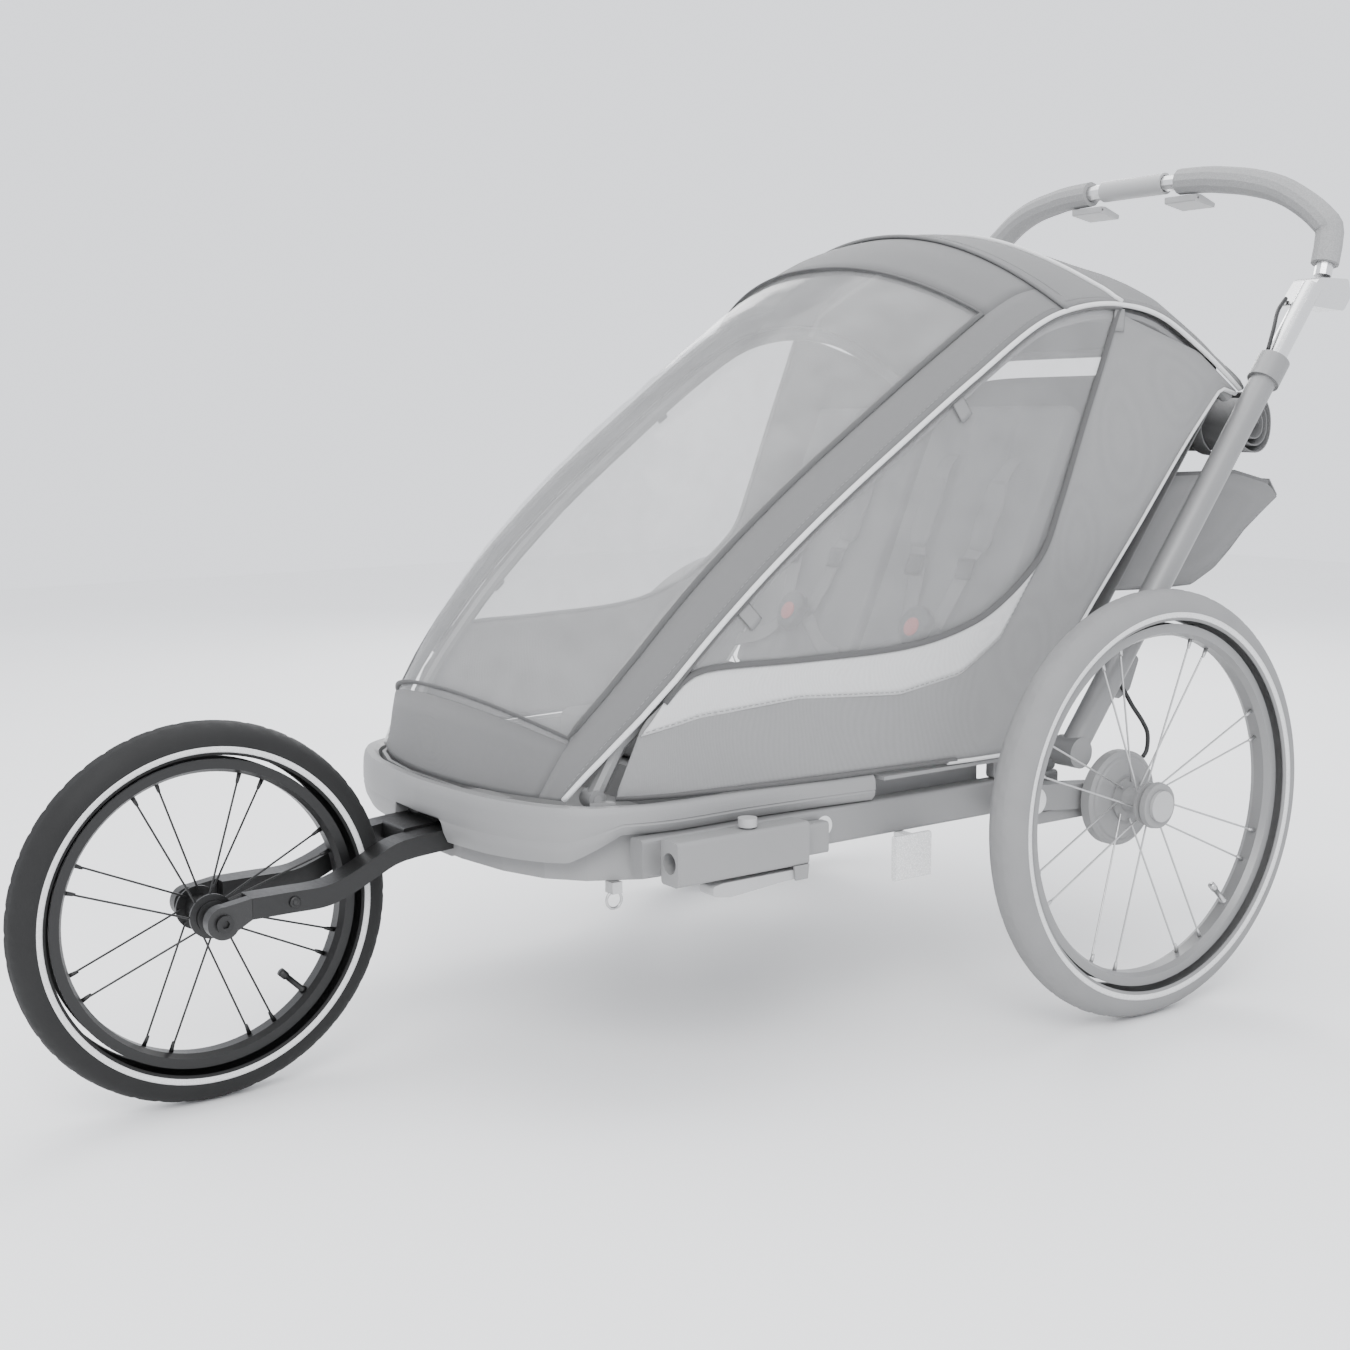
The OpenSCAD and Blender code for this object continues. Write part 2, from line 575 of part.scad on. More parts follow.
// The brake cables' free stretch, from the collar up to the clamp
module handle_cables() {
  line = [[0, upright_l + 6, -17.5], [-6, upright_l + 36, -19], [-16, upright_l + 68, -17], [-19,
      upright_l + 92, -11.5]];
  path = spline([for (q = line) let (p = off_axis(q.y, q.z)) [upright_x + q.x, p.x, p.y]], 3);
  color("black") placed() both() skin(tube_rings(path, 2.5, 8, [0, 1, 0]));
}
module handle_bar() {
  path = [for (p = bar_spline) if (p.z > bar_foot.y - 1) p];
  color("dimgray") placed() skin(tube_rings(whole_bar(path), bar_d / 2, 10, [0, 1, 0]));
}
module handle_grips() {
  path = [for (p = bar_spline) if (p.z > bar_foot.y + 8 && p.x > 62) p];
  outer = tube_rings(path, grip_d / 2, 12, [0, 1, 0]);
  color("dimgray") placed() both() difference() {
    skin(outer);
    skin(tube_rings(bar_spline, bar_d / 2 + gap, 10, [0, 1, 0]));
  }
}
module centre_sleeve() {
  color("lightgray") placed() translate([-sleeve_half, bar_y - 14, bar_top]) rotate([0, 90,
      0]) difference() {
    cylinder(h = 2 * sleeve_half, r = grip_d / 2 - 3, $fn = ROUND);
    translate([0, 0, -1]) cylinder(h = 2 * sleeve_half + 2, r = bar_d / 2 + gap, $fn = ROUND);
  }
}
paddle_x = 84;
paddle_z = bar_top - grip_d / 2 - 6.5;
module paddle(s) {
  y = bar_y - 14;
  color("lightgray") side(s) placed() difference() {
    translate([paddle_x - 26, 0, 0]) across(0, 52) polygon(rounded([[y - 6, paddle_z - 4.5], [y + 34,
        paddle_z - 12],
      [y + 36, paddle_z - 6], [y + 6, paddle_z + 4.5], [y - 6, paddle_z + 4.5]], 2));
    pin_x(paddle_x - 27, paddle_x + 27, y, paddle_z, 2);
  }
}

// Hoops, covers and roof ---------------------------------------------------------------
hoop_curve = spline([for (p = hoop_line) [p.x, rim_z + p.y * roof_rise]], 3);
last = len(hoop_curve) - 1;
function hoop_tangent(i) = unit(hoop_curve[min(i + 1, last)] - hoop_curve[max(i - 1, 0)]);
function hoop_normal(i) = let (t = hoop_tangent(i)) [-t.y, t.x];
// The covers' outer surface: i runs along the hoops and w across, from -1 to 1
function crown_dir(i) = let (k = lookup(hoop_curve[i].x, [[307, 0], [350, 1]]))
  unit((1 - k) * [-1, 0] + k * hoop_normal(i));
function cover_point(i, w) = let (p = hoop_curve[i], d = crown_dir(i),
    c = crown * lookup(p.x, crown_share) * (1 - pow(abs(w), lookup(p.x, crown_power))))
  [w * half_w(p.x), p.x + d.x * c, p.y + d.y * c];
function cover_normal(i, w) = let (a = cover_point(max(i - 1, 0), w), b = cover_point(min(i + 1, last), w),
    c = cover_point(i, w - 0.02), d = cover_point(i, w + 0.02)) unit(cross(d - c, b - a));
function lifted(i, w, h) = cover_point(i, w) + h * cover_normal(i, w);
// A sheet of the covers between two places along the hoops and two across
module cover_sheet(i0, i1, w0, w1, n, high, low) {
  skin([for (i = [i0:i1]) concat([for (k = [0:n]) lifted(i, w0 + (w1 - w0) * k / n, high)],
    [for (k = [n:-1:0]) lifted(i, w0 + (w1 - w0) * k / n, low)])], true);
}
function first_after(y) = [for (i = [0:last]) if (hoop_curve[i].x >= y) i][0];
hem = 0.86;
seam = 2 * gap / body_w;
cover_end = first_after(roof_front) - 1;
module hoop_tubes() {
  path = concat([[hoop_pivot_x, hoop_pivot.x, hoop_pivot.y]], [for (i = [first_after(355):last])
    let (q = hoop_curve[i] - 9 * hoop_normal(i)) [half_w(hoop_curve[i].x) - hoop_in, q.x, q.y]]);
  eye = hoop_d / 2 + 1;
  color("gray") placed() both() difference() {
    union() {
      skin(tube_rings(path, hoop_d / 2, 10, [1, 0, 0]));
      pin_x(hoop_pivot_x - eye, hoop_pivot_x + eye, hoop_pivot.x, hoop_pivot.y, eye);
    }
    pin_x(hoop_pivot_x - eye - 1, hoop_pivot_x + eye + 1, hoop_pivot.x, hoop_pivot.y, 5 + fit);
  }
}
bow_r = 6;
// A roof bow's middle line: under the cover, then down to the hoops' inner side
function bow_end(i, s, d, h) = let (q = hoop_curve[i] + h * hoop_normal(i))
  [s * (half_w(hoop_curve[i].x) - hoop_in - hoop_d / 2 - d), q.x, q.y];
function bow_line(i) = concat([bow_end(i, -1, 0.9, -9), bow_end(i, -1, 10, -5)],
  [for (k = [-8:8]) lifted(i, 0.86 * k / 8, 3 - fabric_t - 4 * gap - bow_r)], [bow_end(i, 1, 10, -5),
      bow_end(i, 1, 0.9, -9)]);
module roof_bows() {
  color("gray") placed() for (i = [first_after(1018), last - 2]) skin(tube_rings(bow_line(i), bow_r, 8,
      [0, 1, 0.3]));
}
module front_cover() {
  color("gray") placed() {
    both() cover_sheet(0, cover_end, hem, 1, 2, 0, -fabric_t);
    for (i = [0, cover_end - 2]) cover_sheet(i, i + 2, -hem + seam, hem - seam, 12, 0, -fabric_t);
  }
}
module front_window() {
  color("lightgray") placed() cover_sheet(2, cover_end - 2, -hem + seam, hem - seam, 12, -0.8, -1.8);
}
module roof_cover() {
  color("gray") placed() cover_sheet(cover_end, last, -1, 1, 16, 3, 3 - fabric_t);
}
// The rolled rain cover, on two straps from the roof's rear edge
module cover_roll() {
  p = hoop_curve[last];
  t = hoop_tangent(last);
  edge = lifted(last, 0.7, 3);
  q = [edge.y, edge.z] + t * 0.5;
  n = hoop_normal(last);
  color("gray") placed() {
    across(-250, 250) polygon(rounded([[p.x + 46, p.y - 84], [p.x + 118, p.y - 90], [p.x + 140, p.y - 56],
      [p.x + 128, p.y - 8], [p.x + 84, p.y + 7], [p.x + 46, p.y - 10]], 14));
    both() across(175, 200) polygon([q, q + t * 2.6, [p.x + 62, p.y - 8], [p.x + 56, p.y - 12], q - n * 5]);
  }
}
// The rear wall runs from the pivot tube up to the rear bow
wall_dir = unit(hoop_curve[last] - pivot);
wall_foot = pivot + (pivot_tube_d / 2 + gap) * wall_dir;
function behind_wall(z) = pivot.x + (z - pivot.y) * wall_dir.x / wall_dir.y + (fabric_t / 2 + gap) / wall_dir.y;
module rear_panel() {
  p = hoop_curve[last];
  w = rail_x - 6 - gap;
  arch = crown * lookup(p.x, crown_share) - 8;
  color("dimgray") placed() translate([0, wall_foot.x, wall_foot.y]) rotate([atan2(wall_dir.y,
      wall_dir.x), 0, 0])
    translate([0, 0, -fabric_t / 2]) linear_extrude(fabric_t) polygon(concat([[-w, 0], [w, 0]],
      [for (k = [8:-1:-8]) [w * k / 8, norm(p - wall_foot) - 44 + arch * (1 - pow(abs(k / 8), 5))]]));
}
module rear_bag() {
  wall = 3;
  outer = [[behind_wall(474), 474], [1222, 474], [1266, 494], [1324, 540], [1392, 580], [1372, 606],
      [1300, 622],
    [behind_wall(622), 622]];
  color("gray") placed() difference() {
    across(-250, 250) polygon(outer);
    across(-250 + wall, 250 - wall) polygon(concat([[1180, 630]], [for (i = [0:4]) inset(outer, wall)[i]],
      [[1366, 600], [1300, 630]]));
  }
}

// Side panels and windows -----------------------------------------------------------------
// The window's lower and rear edge, from the hoop at the front to the hoop at the top
window_edge = [[400, 0.20], [440, 0.26], [560, 0.265], [690, 0.272], [770, 0.30], [833, 0.352], [896,
    0.447],
  [925, 0.56], [958, 0.72], [990, 0.87], [1014, 0.985]];
// The panel's lower and rear edge
panel_edge = [[322, 0.0085], [440, 0.0085], [590, 0.0085], [740, 0.0085], [850, 0.0085], [890, 0.10],
    [935, 0.212],
  [989, 0.338], [1062, 0.50], [1140, 0.68], [1206, 0.816]];
function at_height(p) = [p.x, rim_z + p.y * roof_rise];
function on_side(p, d) = [half_w(p.x) - 1 - d, p.x, p.y];
// The strip between two curves of the side wall, given as lists of equal length
module wall_strip(low, high, rows) {
  skin([for (i = [0:len(low) - 1]) concat(
    [for (k = [0:rows]) on_side(low[i] + (high[i] - low[i]) * k / rows, 0)],
    [for (k = [rows:-1:0]) on_side(low[i] + (high[i] - low[i]) * k / rows, fabric_t)])]);
}
edge_drop = 3.5;
hoop_under = [for (i = [0:last]) hoop_curve[i] - edge_drop * hoop_normal(i)];
panel_inner = concat([[354, rim_z + 14]], [for (p = [[364, 0.10], [378, 0.16]]) at_height(p)],
  [for (p = window_edge) at_height(p)], [hoop_under[last - 6], hoop_under[last - 1]]);
panel_outer = concat([[352, rim_z + 4.4]], [for (p = [[372, 0.0085], [392, 0.0085], [420,
    0.0085]]) at_height(p)],
  [for (i = [1:len(panel_edge) - 1]) at_height(panel_edge[i])], [at_height([1212, 0.828])],
      [hoop_under[last] - [4, 2]]);
window_top = [for (i = [first_after(400):first_after(1010)]) hoop_under[i]];
window_low = [for (p = window_edge) at_height(p)];
module side_panel(s) {
  color("darkgray") side(s) placed() wall_strip(panel_outer, panel_inner, 3);
}
function resample(p, n) = [for (k = [0:n]) let (t = k / n * (len(p) - 1), i = min(floor(t), len(p) - 2))
  p[i] + (p[i + 1] - p[i]) * (t - i)];
module side_window(s) {
  n = 20;
  low = resample(window_low, n);
  high = resample(window_top, n);
  color("dimgray") side(s) placed() wall_strip([for (k = [2:n - 2]) low[k] + (high[k] - low[k]) * min(0.6 / norm(high[k] - low[k]), 0.25)],
    [for (k = [2:n - 2]) high[k]], 2);
}

// Seats ---------------------------------------------------------------------------------
seat_hinge = [tub_back + 20, bench_z + 72];
seat_angle = 66;
seat_t = 32;
module seat_back() {
  half = seat_w / 2 - 8;
  color("dimgray") placed() difference() {
    union() {
      translate([0, seat_hinge.x, seat_hinge.y]) rotate([seat_angle, 0, 0]) translate([0, 0, -seat_t / 2])
        linear_extrude(seat_t) polygon(rounded([[-half, 2], [half, 2], [half - 4, seat_back_l * 0.6],
          [half - 32, seat_back_l], [-half + 32, seat_back_l], [-half + 4, seat_back_l * 0.6]], 20));
      pin_x(-half, half, seat_hinge.x, seat_hinge.y, seat_rod_r + 6);
    }
    pin_x(-half - 1, half + 1, seat_hinge.x, seat_hinge.y, seat_rod_r + fit);
  }
}
module harness() {
  color("silver") placed() translate([0, seat_hinge.x, seat_hinge.y]) rotate([seat_angle, 0, 0])
    translate([0, 0, seat_t / 2 + gap]) for (x = [-seat_w / 4, seat_w / 4]) {
      for (d = [-1, 1]) translate([x + d * 45 - 12, 60, 0]) cube([24, seat_back_l - 130, 2]);
      translate([x, 150, 0]) translate([-33, 0, 2 + gap]) cube([66, 46, 12]);
    }
}

// Brake cables: from the boot on the upright down to the drum's top
cable_half = [[321, 1006, 377], [327, 1010, 366], [334, 1014, 352], [341, 1022, 336], [344, 1029, 322],
  [345, 1030, 310], [345, 1028, 298], [345, 1022, 291.5]];
module brake_cable(s) {
  color("black") side(s) placed() skin(tube_rings(spline(cable_half, 3), 2.5, 8, [0, 1, 0.2]));
}

bumper();
floor_tray();
side_rails();
cross_tubes();
pivot_brackets();
hitch_box();
tie_rings();
reflectors();
jog_receiver();
seat_base();
side_panel(1);  // side_panel_left
side_panel(-1);  // side_panel_right
side_window(1);  // side_window_left
side_window(-1);  // side_window_right
rear_panel();
jog_arm();
jog_dropouts();
jog_axle();
brake_cable(1);  // brake_cable_left
brake_cable(-1);  // brake_cable_right
frame_boots();
swing_arm(1);  // swing_arm_left
swing_arm(-1);  // swing_arm_right
axle(1);  // axle_left
axle(-1);  // axle_right
rear_tyre(1);  // tyre_left
rear_tyre(-1);  // tyre_right
rear_rim(1);  // rim_left
rear_rim(-1);  // rim_right
rear_spokes(1);  // spokes_left
rear_spokes(-1);  // spokes_right
rear_hub(1);  // hub_left
rear_hub(-1);  // hub_right
brake_drum(1);  // brake_drum_left
brake_drum(-1);  // brake_drum_right
hub_button(1);  // hub_button_left
hub_button(-1);  // hub_button_right
jog_tyre();
jog_rim();
jog_spokes();
jog_hub();
rear_frame();
handle_tubes();
handle_bar();
handle_grips();
centre_sleeve();
paddle(1);  // paddle_left
paddle(-1);  // paddle_right
hoop_tubes();
roof_bows();
front_cover();
front_window();
roof_cover();
cover_roll();
rear_bag();
seat_back();
harness();
hitch_lever();
hitch_knob();
handle_cables();
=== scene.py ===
# %% [markdown]
# # Child bicycle trailer with its jogging wheel
# This lesson dresses a finished CAD frame: tubes, wheels and hinges come from the frame, and cloth,
# rubber and fine detail are made here. All lengths in lists are millimetres, measured from the
# jogging wheel's axle: x to the trailer's left, y to the rear, z up from the floor.

# %% Load the frame
import json
import math

import bmesh
import bpy
from mathutils import Matrix, Vector


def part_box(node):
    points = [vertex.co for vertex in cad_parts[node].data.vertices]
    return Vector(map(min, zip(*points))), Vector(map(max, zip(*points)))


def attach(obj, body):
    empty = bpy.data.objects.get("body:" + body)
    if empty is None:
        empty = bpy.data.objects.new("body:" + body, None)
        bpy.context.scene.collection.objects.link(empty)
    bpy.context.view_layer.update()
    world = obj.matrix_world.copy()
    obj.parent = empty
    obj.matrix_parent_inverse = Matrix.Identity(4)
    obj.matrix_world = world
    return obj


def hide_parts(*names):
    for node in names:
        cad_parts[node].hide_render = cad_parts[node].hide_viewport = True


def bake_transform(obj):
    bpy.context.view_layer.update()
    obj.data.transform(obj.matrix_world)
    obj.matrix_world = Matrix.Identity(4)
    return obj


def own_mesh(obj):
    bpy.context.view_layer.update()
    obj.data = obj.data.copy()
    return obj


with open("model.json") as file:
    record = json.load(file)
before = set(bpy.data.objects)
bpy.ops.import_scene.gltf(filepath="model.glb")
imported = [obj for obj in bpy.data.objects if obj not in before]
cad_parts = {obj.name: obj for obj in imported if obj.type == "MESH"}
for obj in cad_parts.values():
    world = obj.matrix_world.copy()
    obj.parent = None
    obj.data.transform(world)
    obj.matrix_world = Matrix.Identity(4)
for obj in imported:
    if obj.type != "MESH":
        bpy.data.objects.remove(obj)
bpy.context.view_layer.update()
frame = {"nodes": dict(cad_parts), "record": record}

# %% [markdown]
# The jogging wheel's hub fixes the lesson's own origin. Its middle is the axle, so a helper that adds
# the axle's place turns a list's millimetres into the frame's metres.

# %% The axle and the millimetre helper
hub_low, hub_high = (Vector(p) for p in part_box("jog_hub"))
AXLE = (hub_low + hub_high) / 2
JOG_R = AXLE.z
MM = 0.001
ACROSS = Vector((1, 0, 0))


def at(x, y, z):
    return Vector((x * MM, AXLE.y + y * MM, z * MM))


wheel_low, wheel_high = (Vector(p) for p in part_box("tyre_left"))
REAR = (wheel_low + wheel_high) / 2
REAR_Y = (REAR.y - AXLE.y) / MM
print("axle height", round(JOG_R, 3), "wheelbase", round(REAR_Y), "mm")

# %% [markdown]
# ## Camera
# The view is three-quarter from the front, from about the windows' height and two metres away. The
# lens is a normal one, so that the near wheel isn't stretched. The camera is placed from the axle.

# %% Camera
EYE = AXLE + Vector((1.7199, -0.6068, 0.4966))
TURN, TILT, ROLL = (math.radians(v) for v in (55.19, 8.30, -0.52))
back = Vector((math.sin(TURN) * math.cos(TILT), -math.cos(TURN) * math.cos(TILT), math.sin(TILT)))
right = Vector((math.cos(TURN), math.sin(TURN), 0))
over = back.cross(right)
right, over = (math.cos(ROLL) * right + math.sin(ROLL) * over,
               math.cos(ROLL) * over - math.sin(ROLL) * right)
camera = bpy.data.objects.new("camera", bpy.data.cameras.new("camera"))
bpy.context.scene.collection.objects.link(camera)
camera.matrix_world = Matrix.Translation(EYE) @ Matrix((right, over, back)).transposed().to_4x4()
camera.data.lens = 47.23
camera.data.sensor_width = 36
bpy.context.scene.camera = camera
print("camera looks down", round(math.degrees(TILT), 1), "degrees")

# %% [markdown]
# ## Studio
# Soft light shows cloth and rubber best. A pale floor, a pale world and three large area
# lights give broad highlights on the tubes and no hard shadow. Many small lamps would do it too, but
# large ones are simpler and cleaner.

# %% Floor, world and lights
FLOOR_HALF = 6.0
floor_mesh = bpy.data.meshes.new("floor")
floor_mesh.from_pydata([(-FLOOR_HALF, -FLOOR_HALF, 0), (FLOOR_HALF, -FLOOR_HALF, 0),
                        (FLOOR_HALF, FLOOR_HALF, 0), (-FLOOR_HALF, FLOOR_HALF, 0)], [], [(0, 1, 2, 3)])
floor = bpy.data.objects.new("floor", floor_mesh)
bpy.context.scene.collection.objects.link(floor)
world = bpy.data.worlds.new("studio")
bpy.context.scene.world = world
world.use_nodes = True
world.node_tree.nodes["Background"].inputs["Color"].default_value = (0.93, 0.95, 1, 1)
world.node_tree.nodes["Background"].inputs["Strength"].default_value = 1.7


def area_light(name, place, target, size, watts):
    lamp = bpy.data.objects.new(name, bpy.data.lights.new(name, "AREA"))
    lamp.data.size = size
    lamp.data.energy = watts
    lamp.location = place
    lamp.rotation_euler = (Vector(target) - Vector(place)).to_track_quat("-Z", "Y").to_euler()
    bpy.context.scene.collection.objects.link(lamp)


area_light("key", (2.6, -2.0, 3.0), (0, 0, 0.4), 2.0, 120)
area_light("top", (-0.6, 0.4, 3.4), (0, 0, 0.4), 2.6, 70)
area_light("rim", (-2.6, 2.2, 2.0), (0, 0, 0.5), 1.6, 60)
print("studio ready")

# %% [markdown]
# ## Shader maths in Python
# A finish is a little network of nodes. Written by hand that is long, so one class wraps a socket
# and overloads the operators: `1 - mask * 0.3` then adds its Math nodes by itself. `Finish.node`
# makes any other node: its type, its settings, then its inputs.

# %% The Number and Finish helpers
class Number:
    def __init__(self, finish, socket):
        self.finish, self.socket = finish, socket

    def math(self, operation, a, b):
        return self.finish.node("ShaderNodeMath", {"operation": operation}, {0: a, 1: b})

    def __add__(self, other): return self.math("ADD", self, other)
    def __radd__(self, other): return self.math("ADD", other, self)
    def __sub__(self, other): return self.math("SUBTRACT", self, other)
    def __rsub__(self, other): return self.math("SUBTRACT", other, self)
    def __mul__(self, other): return self.math("MULTIPLY", self, other)
    def __rmul__(self, other): return self.math("MULTIPLY", other, self)
    def __gt__(self, other): return self.math("GREATER_THAN", self, other)


class Finish:
    def __init__(self, name, roughness, metallic=0.0):
        self.material = bpy.data.materials.new(name)
        self.material.use_nodes = True
        self.tree = self.material.node_tree
        self.shader = self.tree.nodes["Principled BSDF"]
        self.shader.inputs["Roughness"].default_value = roughness
        self.shader.inputs["Metallic"].default_value = metallic
        self.place = self.node("ShaderNodeTexCoord", {}, {}, "Object")

    def feed(self, socket, value):
        if isinstance(value, Number):
            self.tree.links.new(value.socket, socket)
        elif isinstance(value, (tuple, list)) and socket.type == "RGBA":
            socket.default_value = (*value[:3], 1)
        else:
            socket.default_value = value

    def node(self, kind, settings, inputs, output=0):
        made = self.tree.nodes.new(kind)
        for key, value in settings.items():
            if key == "stops":
                for element, (spot, tone) in zip(made.color_ramp.elements, value):
                    element.position = spot
                    element.color = (tone, tone, tone, 1)
            else:
                setattr(made, key, value)
        for key, value in inputs.items():
            self.feed(made.inputs[key], value)
        return Number(self, made.outputs[output])

    def noise(self, scale, detail=2, stretch=(1, 1, 1)):
        spot = self.node("ShaderNodeMapping", {}, {"Vector": self.place, "Scale": stretch})
        return self.node("ShaderNodeTexNoise", {}, {"Vector": spot, "Scale": scale, "Detail": detail})

    def wave(self, direction, scale, distortion=0.0):
        return self.node("ShaderNodeTexWave", {"bands_direction": direction},
                         {"Vector": self.place, "Scale": scale, "Distortion": distortion}, "Fac")

    def split(self):
        return [self.node("ShaderNodeSeparateXYZ", {}, {0: self.place}, k) for k in range(3)]

    def blend(self, mask, a, b):
        return self.node("ShaderNodeMix", {"data_type": "RGBA"}, {0: mask, 6: a, 7: b}, 2)

    def dress(self, colour=None, roughness=None, height=None, depth=0.0003, alpha=None):
        for socket, value in (("Base Color", colour), ("Roughness", roughness), ("Alpha", alpha)):
            if value is not None:
                self.feed(self.shader.inputs[socket], value)
        if height is not None:
            bump = self.node("ShaderNodeBump", {}, {"Height": height, "Distance": depth, "Strength": 0.8})
            self.feed(self.shader.inputs["Normal"], bump)
        return self.material


def grey(tone, warm=0.0):
    return (tone * (1 + warm), tone, tone * (1 - warm))


print("shader helpers ready")

# %% [markdown]
# ## Finishes
# Each finish copies how its material is made. Woven cloth is two crossed ribs with a slow colour
# drift, moulded plastic has a fine spark-eroded grain, drawn metal has stretched scratches, and
# rubber is dull with a little dust. Image textures would tie the part to files, so all is computed.

# %% Cloth, plastic, metal and rubber
THREAD = 520


def cloth(name, tone, coarse=1.0, sheen=0.15, warm=0.0):
    f = Finish(name, 0.85)
    warp = f.wave("X", THREAD / coarse, 0.4)
    weft = f.wave("Z", THREAD / coarse, 0.4) * 0.6 + f.wave("Y", THREAD / coarse, 0.4) * 0.6
    weave = warp * 0.5 + weft * 0.5
    drift = f.noise(5, 3)
    worn = drift * 0.35 + weave * 0.3 + f.noise(160) * 0.2
    f.shader.inputs["Sheen Weight"].default_value = sheen
    colour = f.blend(worn, grey(tone * 0.82, warm), grey(tone * 1.12, warm))
    return f.dress(colour, 0.7 + drift * 0.25, weave + f.noise(30) * 1.5, 0.00045)


def moulded(name, tone, rough=0.5, warm=0.0):
    f = Finish(name, rough)
    grain = f.noise(900, 2)
    patch = f.noise(14, 3)
    dust = f.node("ShaderNodeMapRange", {}, {0: f.split()[2], 1: 0.0, 2: 0.35, 3: 0.35, 4: 0.0})
    colour = f.blend(patch * 0.5 + dust * 0.5, grey(tone, warm), grey(tone * 1.16 + 0.012, warm))
    return f.dress(colour, rough - 0.08 + patch * 0.16, grain + patch * 0.6, 0.00025)


def metal(name, tone, rough=0.35, metallic=1.0, stretch=(1, 1, 12)):
    f = Finish(name, rough, metallic)
    scratch = f.noise(240, 3, stretch)
    patch = f.noise(10, 2)
    colour = f.blend(scratch * 0.4 + patch * 0.4, grey(tone * 0.86), grey(tone * 1.1))
    return f.dress(colour, rough - 0.1 + scratch * 0.2, scratch + f.noise(700) * 0.4, 0.00012)


def rubber(name, tone):
    f = Finish(name, 0.78)
    dust = f.noise(22, 4)
    pores = f.noise(1100, 2)
    colour = f.blend(dust * 0.6 + pores * 0.2, grey(tone * 0.85), grey(tone * 1.18 + 0.006))
    return f.dress(colour, 0.68 + dust * 0.2, pores + dust * 0.4, 0.0003)


COVER, SIDE, BAND, TRIM = 0.17, 0.26, 0.66, 0.82
cover_cloth = cloth("cover_cloth", COVER)
side_cloth = cloth("side_cloth", SIDE)
band_cloth = cloth("band_cloth", BAND, 0.8)
trim_cloth = cloth("trim_cloth", TRIM, 0.7, 0.1)
dark_binding = cloth("dark_binding", 0.10, 0.8)
seat_cloth = cloth("seat_cloth", 0.15, 1.3)
wall_cloth = cloth("wall_cloth", 0.18)
grey_plastic = moulded("grey_plastic", 0.22)
pale_plastic = moulded("pale_plastic", 0.36, 0.42)
black_plastic = moulded("black_plastic", 0.008, 0.42)
grey_frame = metal("grey_frame", 0.25, 0.42, 0.35)
silver_tube = metal("silver_tube", 0.72, 0.3)
spoke_steel = metal("spoke_steel", 0.5, 0.32, 0.9, (1, 1, 1))
black_metal = metal("black_metal", 0.003, 0.42, 0.0)
grey_rubber = rubber("grey_rubber", 0.22)
black_rubber = rubber("black_rubber", 0.002)
print(len(bpy.data.materials), "finishes so far")

# %% [markdown]
# Four finishes need their own recipe: clear window film, the reflective stripe with its tiny cells,
# woven webbing with ribs across, and closed-cell foam with pits. The red release button of each
# buckle is a saturated moulded plastic.

# %% Film, reflective stripe, webbing, foam and the red button
def film():
    f = Finish("window_film", 0.12)
    ripple = f.noise(7, 2)
    smear = f.noise(26, 4)
    f.shader.inputs["Specular IOR Level"].default_value = 0.6
    return f.dress(grey(0.55), 0.08 + smear * 0.14, ripple, 0.004, 0.16 + smear * 0.12)


def stripe(name, tone):
    f = Finish(name, 0.32)
    cells = f.node("ShaderNodeTexVoronoi", {"feature": "DISTANCE_TO_EDGE"}, {"Vector": f.place, "Scale": 700})
    lit = f.blend(cells * 3.0, grey(tone * 0.7), grey(tone))
    return f.dress(lit, 0.3 + f.noise(40) * 0.2, cells, 0.0002)


def webbing(name, tone):
    f = Finish(name, 0.75)
    ribs = f.wave("Z", 330) * 0.6 + f.wave("Y", 330) * 0.4
    colour = f.blend(ribs * 0.5 + f.noise(12) * 0.4, grey(tone * 0.75), grey(tone * 1.15))
    return f.dress(colour, 0.65 + ribs * 0.2, ribs, 0.0005)


def foam():
    f = Finish("foam_grip", 0.9)
    pits = f.node("ShaderNodeTexVoronoi", {}, {"Vector": f.place, "Scale": 620})
    colour = f.blend(pits, grey(0.24), grey(0.34))
    return f.dress(colour, 0.8 + pits * 0.15, pits, 0.0005)


def red_button():
    f = Finish("red_button", 0.4)
    patch = f.noise(60, 3)
    return f.dress(f.blend(patch, (0.42, 0.02, 0.02), (0.62, 0.05, 0.04)), 0.3 + patch * 0.2, patch, 0.0002)


def floor_paint():
    f = Finish("floor_paint", 0.7)
    patch = f.noise(1.5, 3)
    return f.dress(f.blend(patch, grey(0.90), grey(0.94)), 0.6 + patch * 0.2, f.noise(120), 0.0002)


clear_film = film()
pale_stripe = stripe("pale_stripe", 0.75)
harness_web = webbing("harness_web", 0.20)
strap_web = webbing("strap_web", 0.28)
foam_grip = foam()
button_red = red_button()
floor.data.materials.append(floor_paint())
print(len(bpy.data.materials), "finishes in all")

# %% [markdown]
# ## Mesh helpers
# Most pieces are one of four shapes: a sheet between rows of points, a tube along a path, a turned
# profile, or an outline extruded across. Each helper makes one mesh, mostly of quads. Modifiers are
# applied at once, so that the exported mesh is the one that is seen.

# %% Making and finishing a piece
def apply_modifiers(piece):
    bpy.context.view_layer.update()
    done = bpy.data.meshes.new_from_object(piece.evaluated_get(bpy.context.evaluated_depsgraph_get()))
    piece.modifiers.clear()
    piece.data = done
    return piece


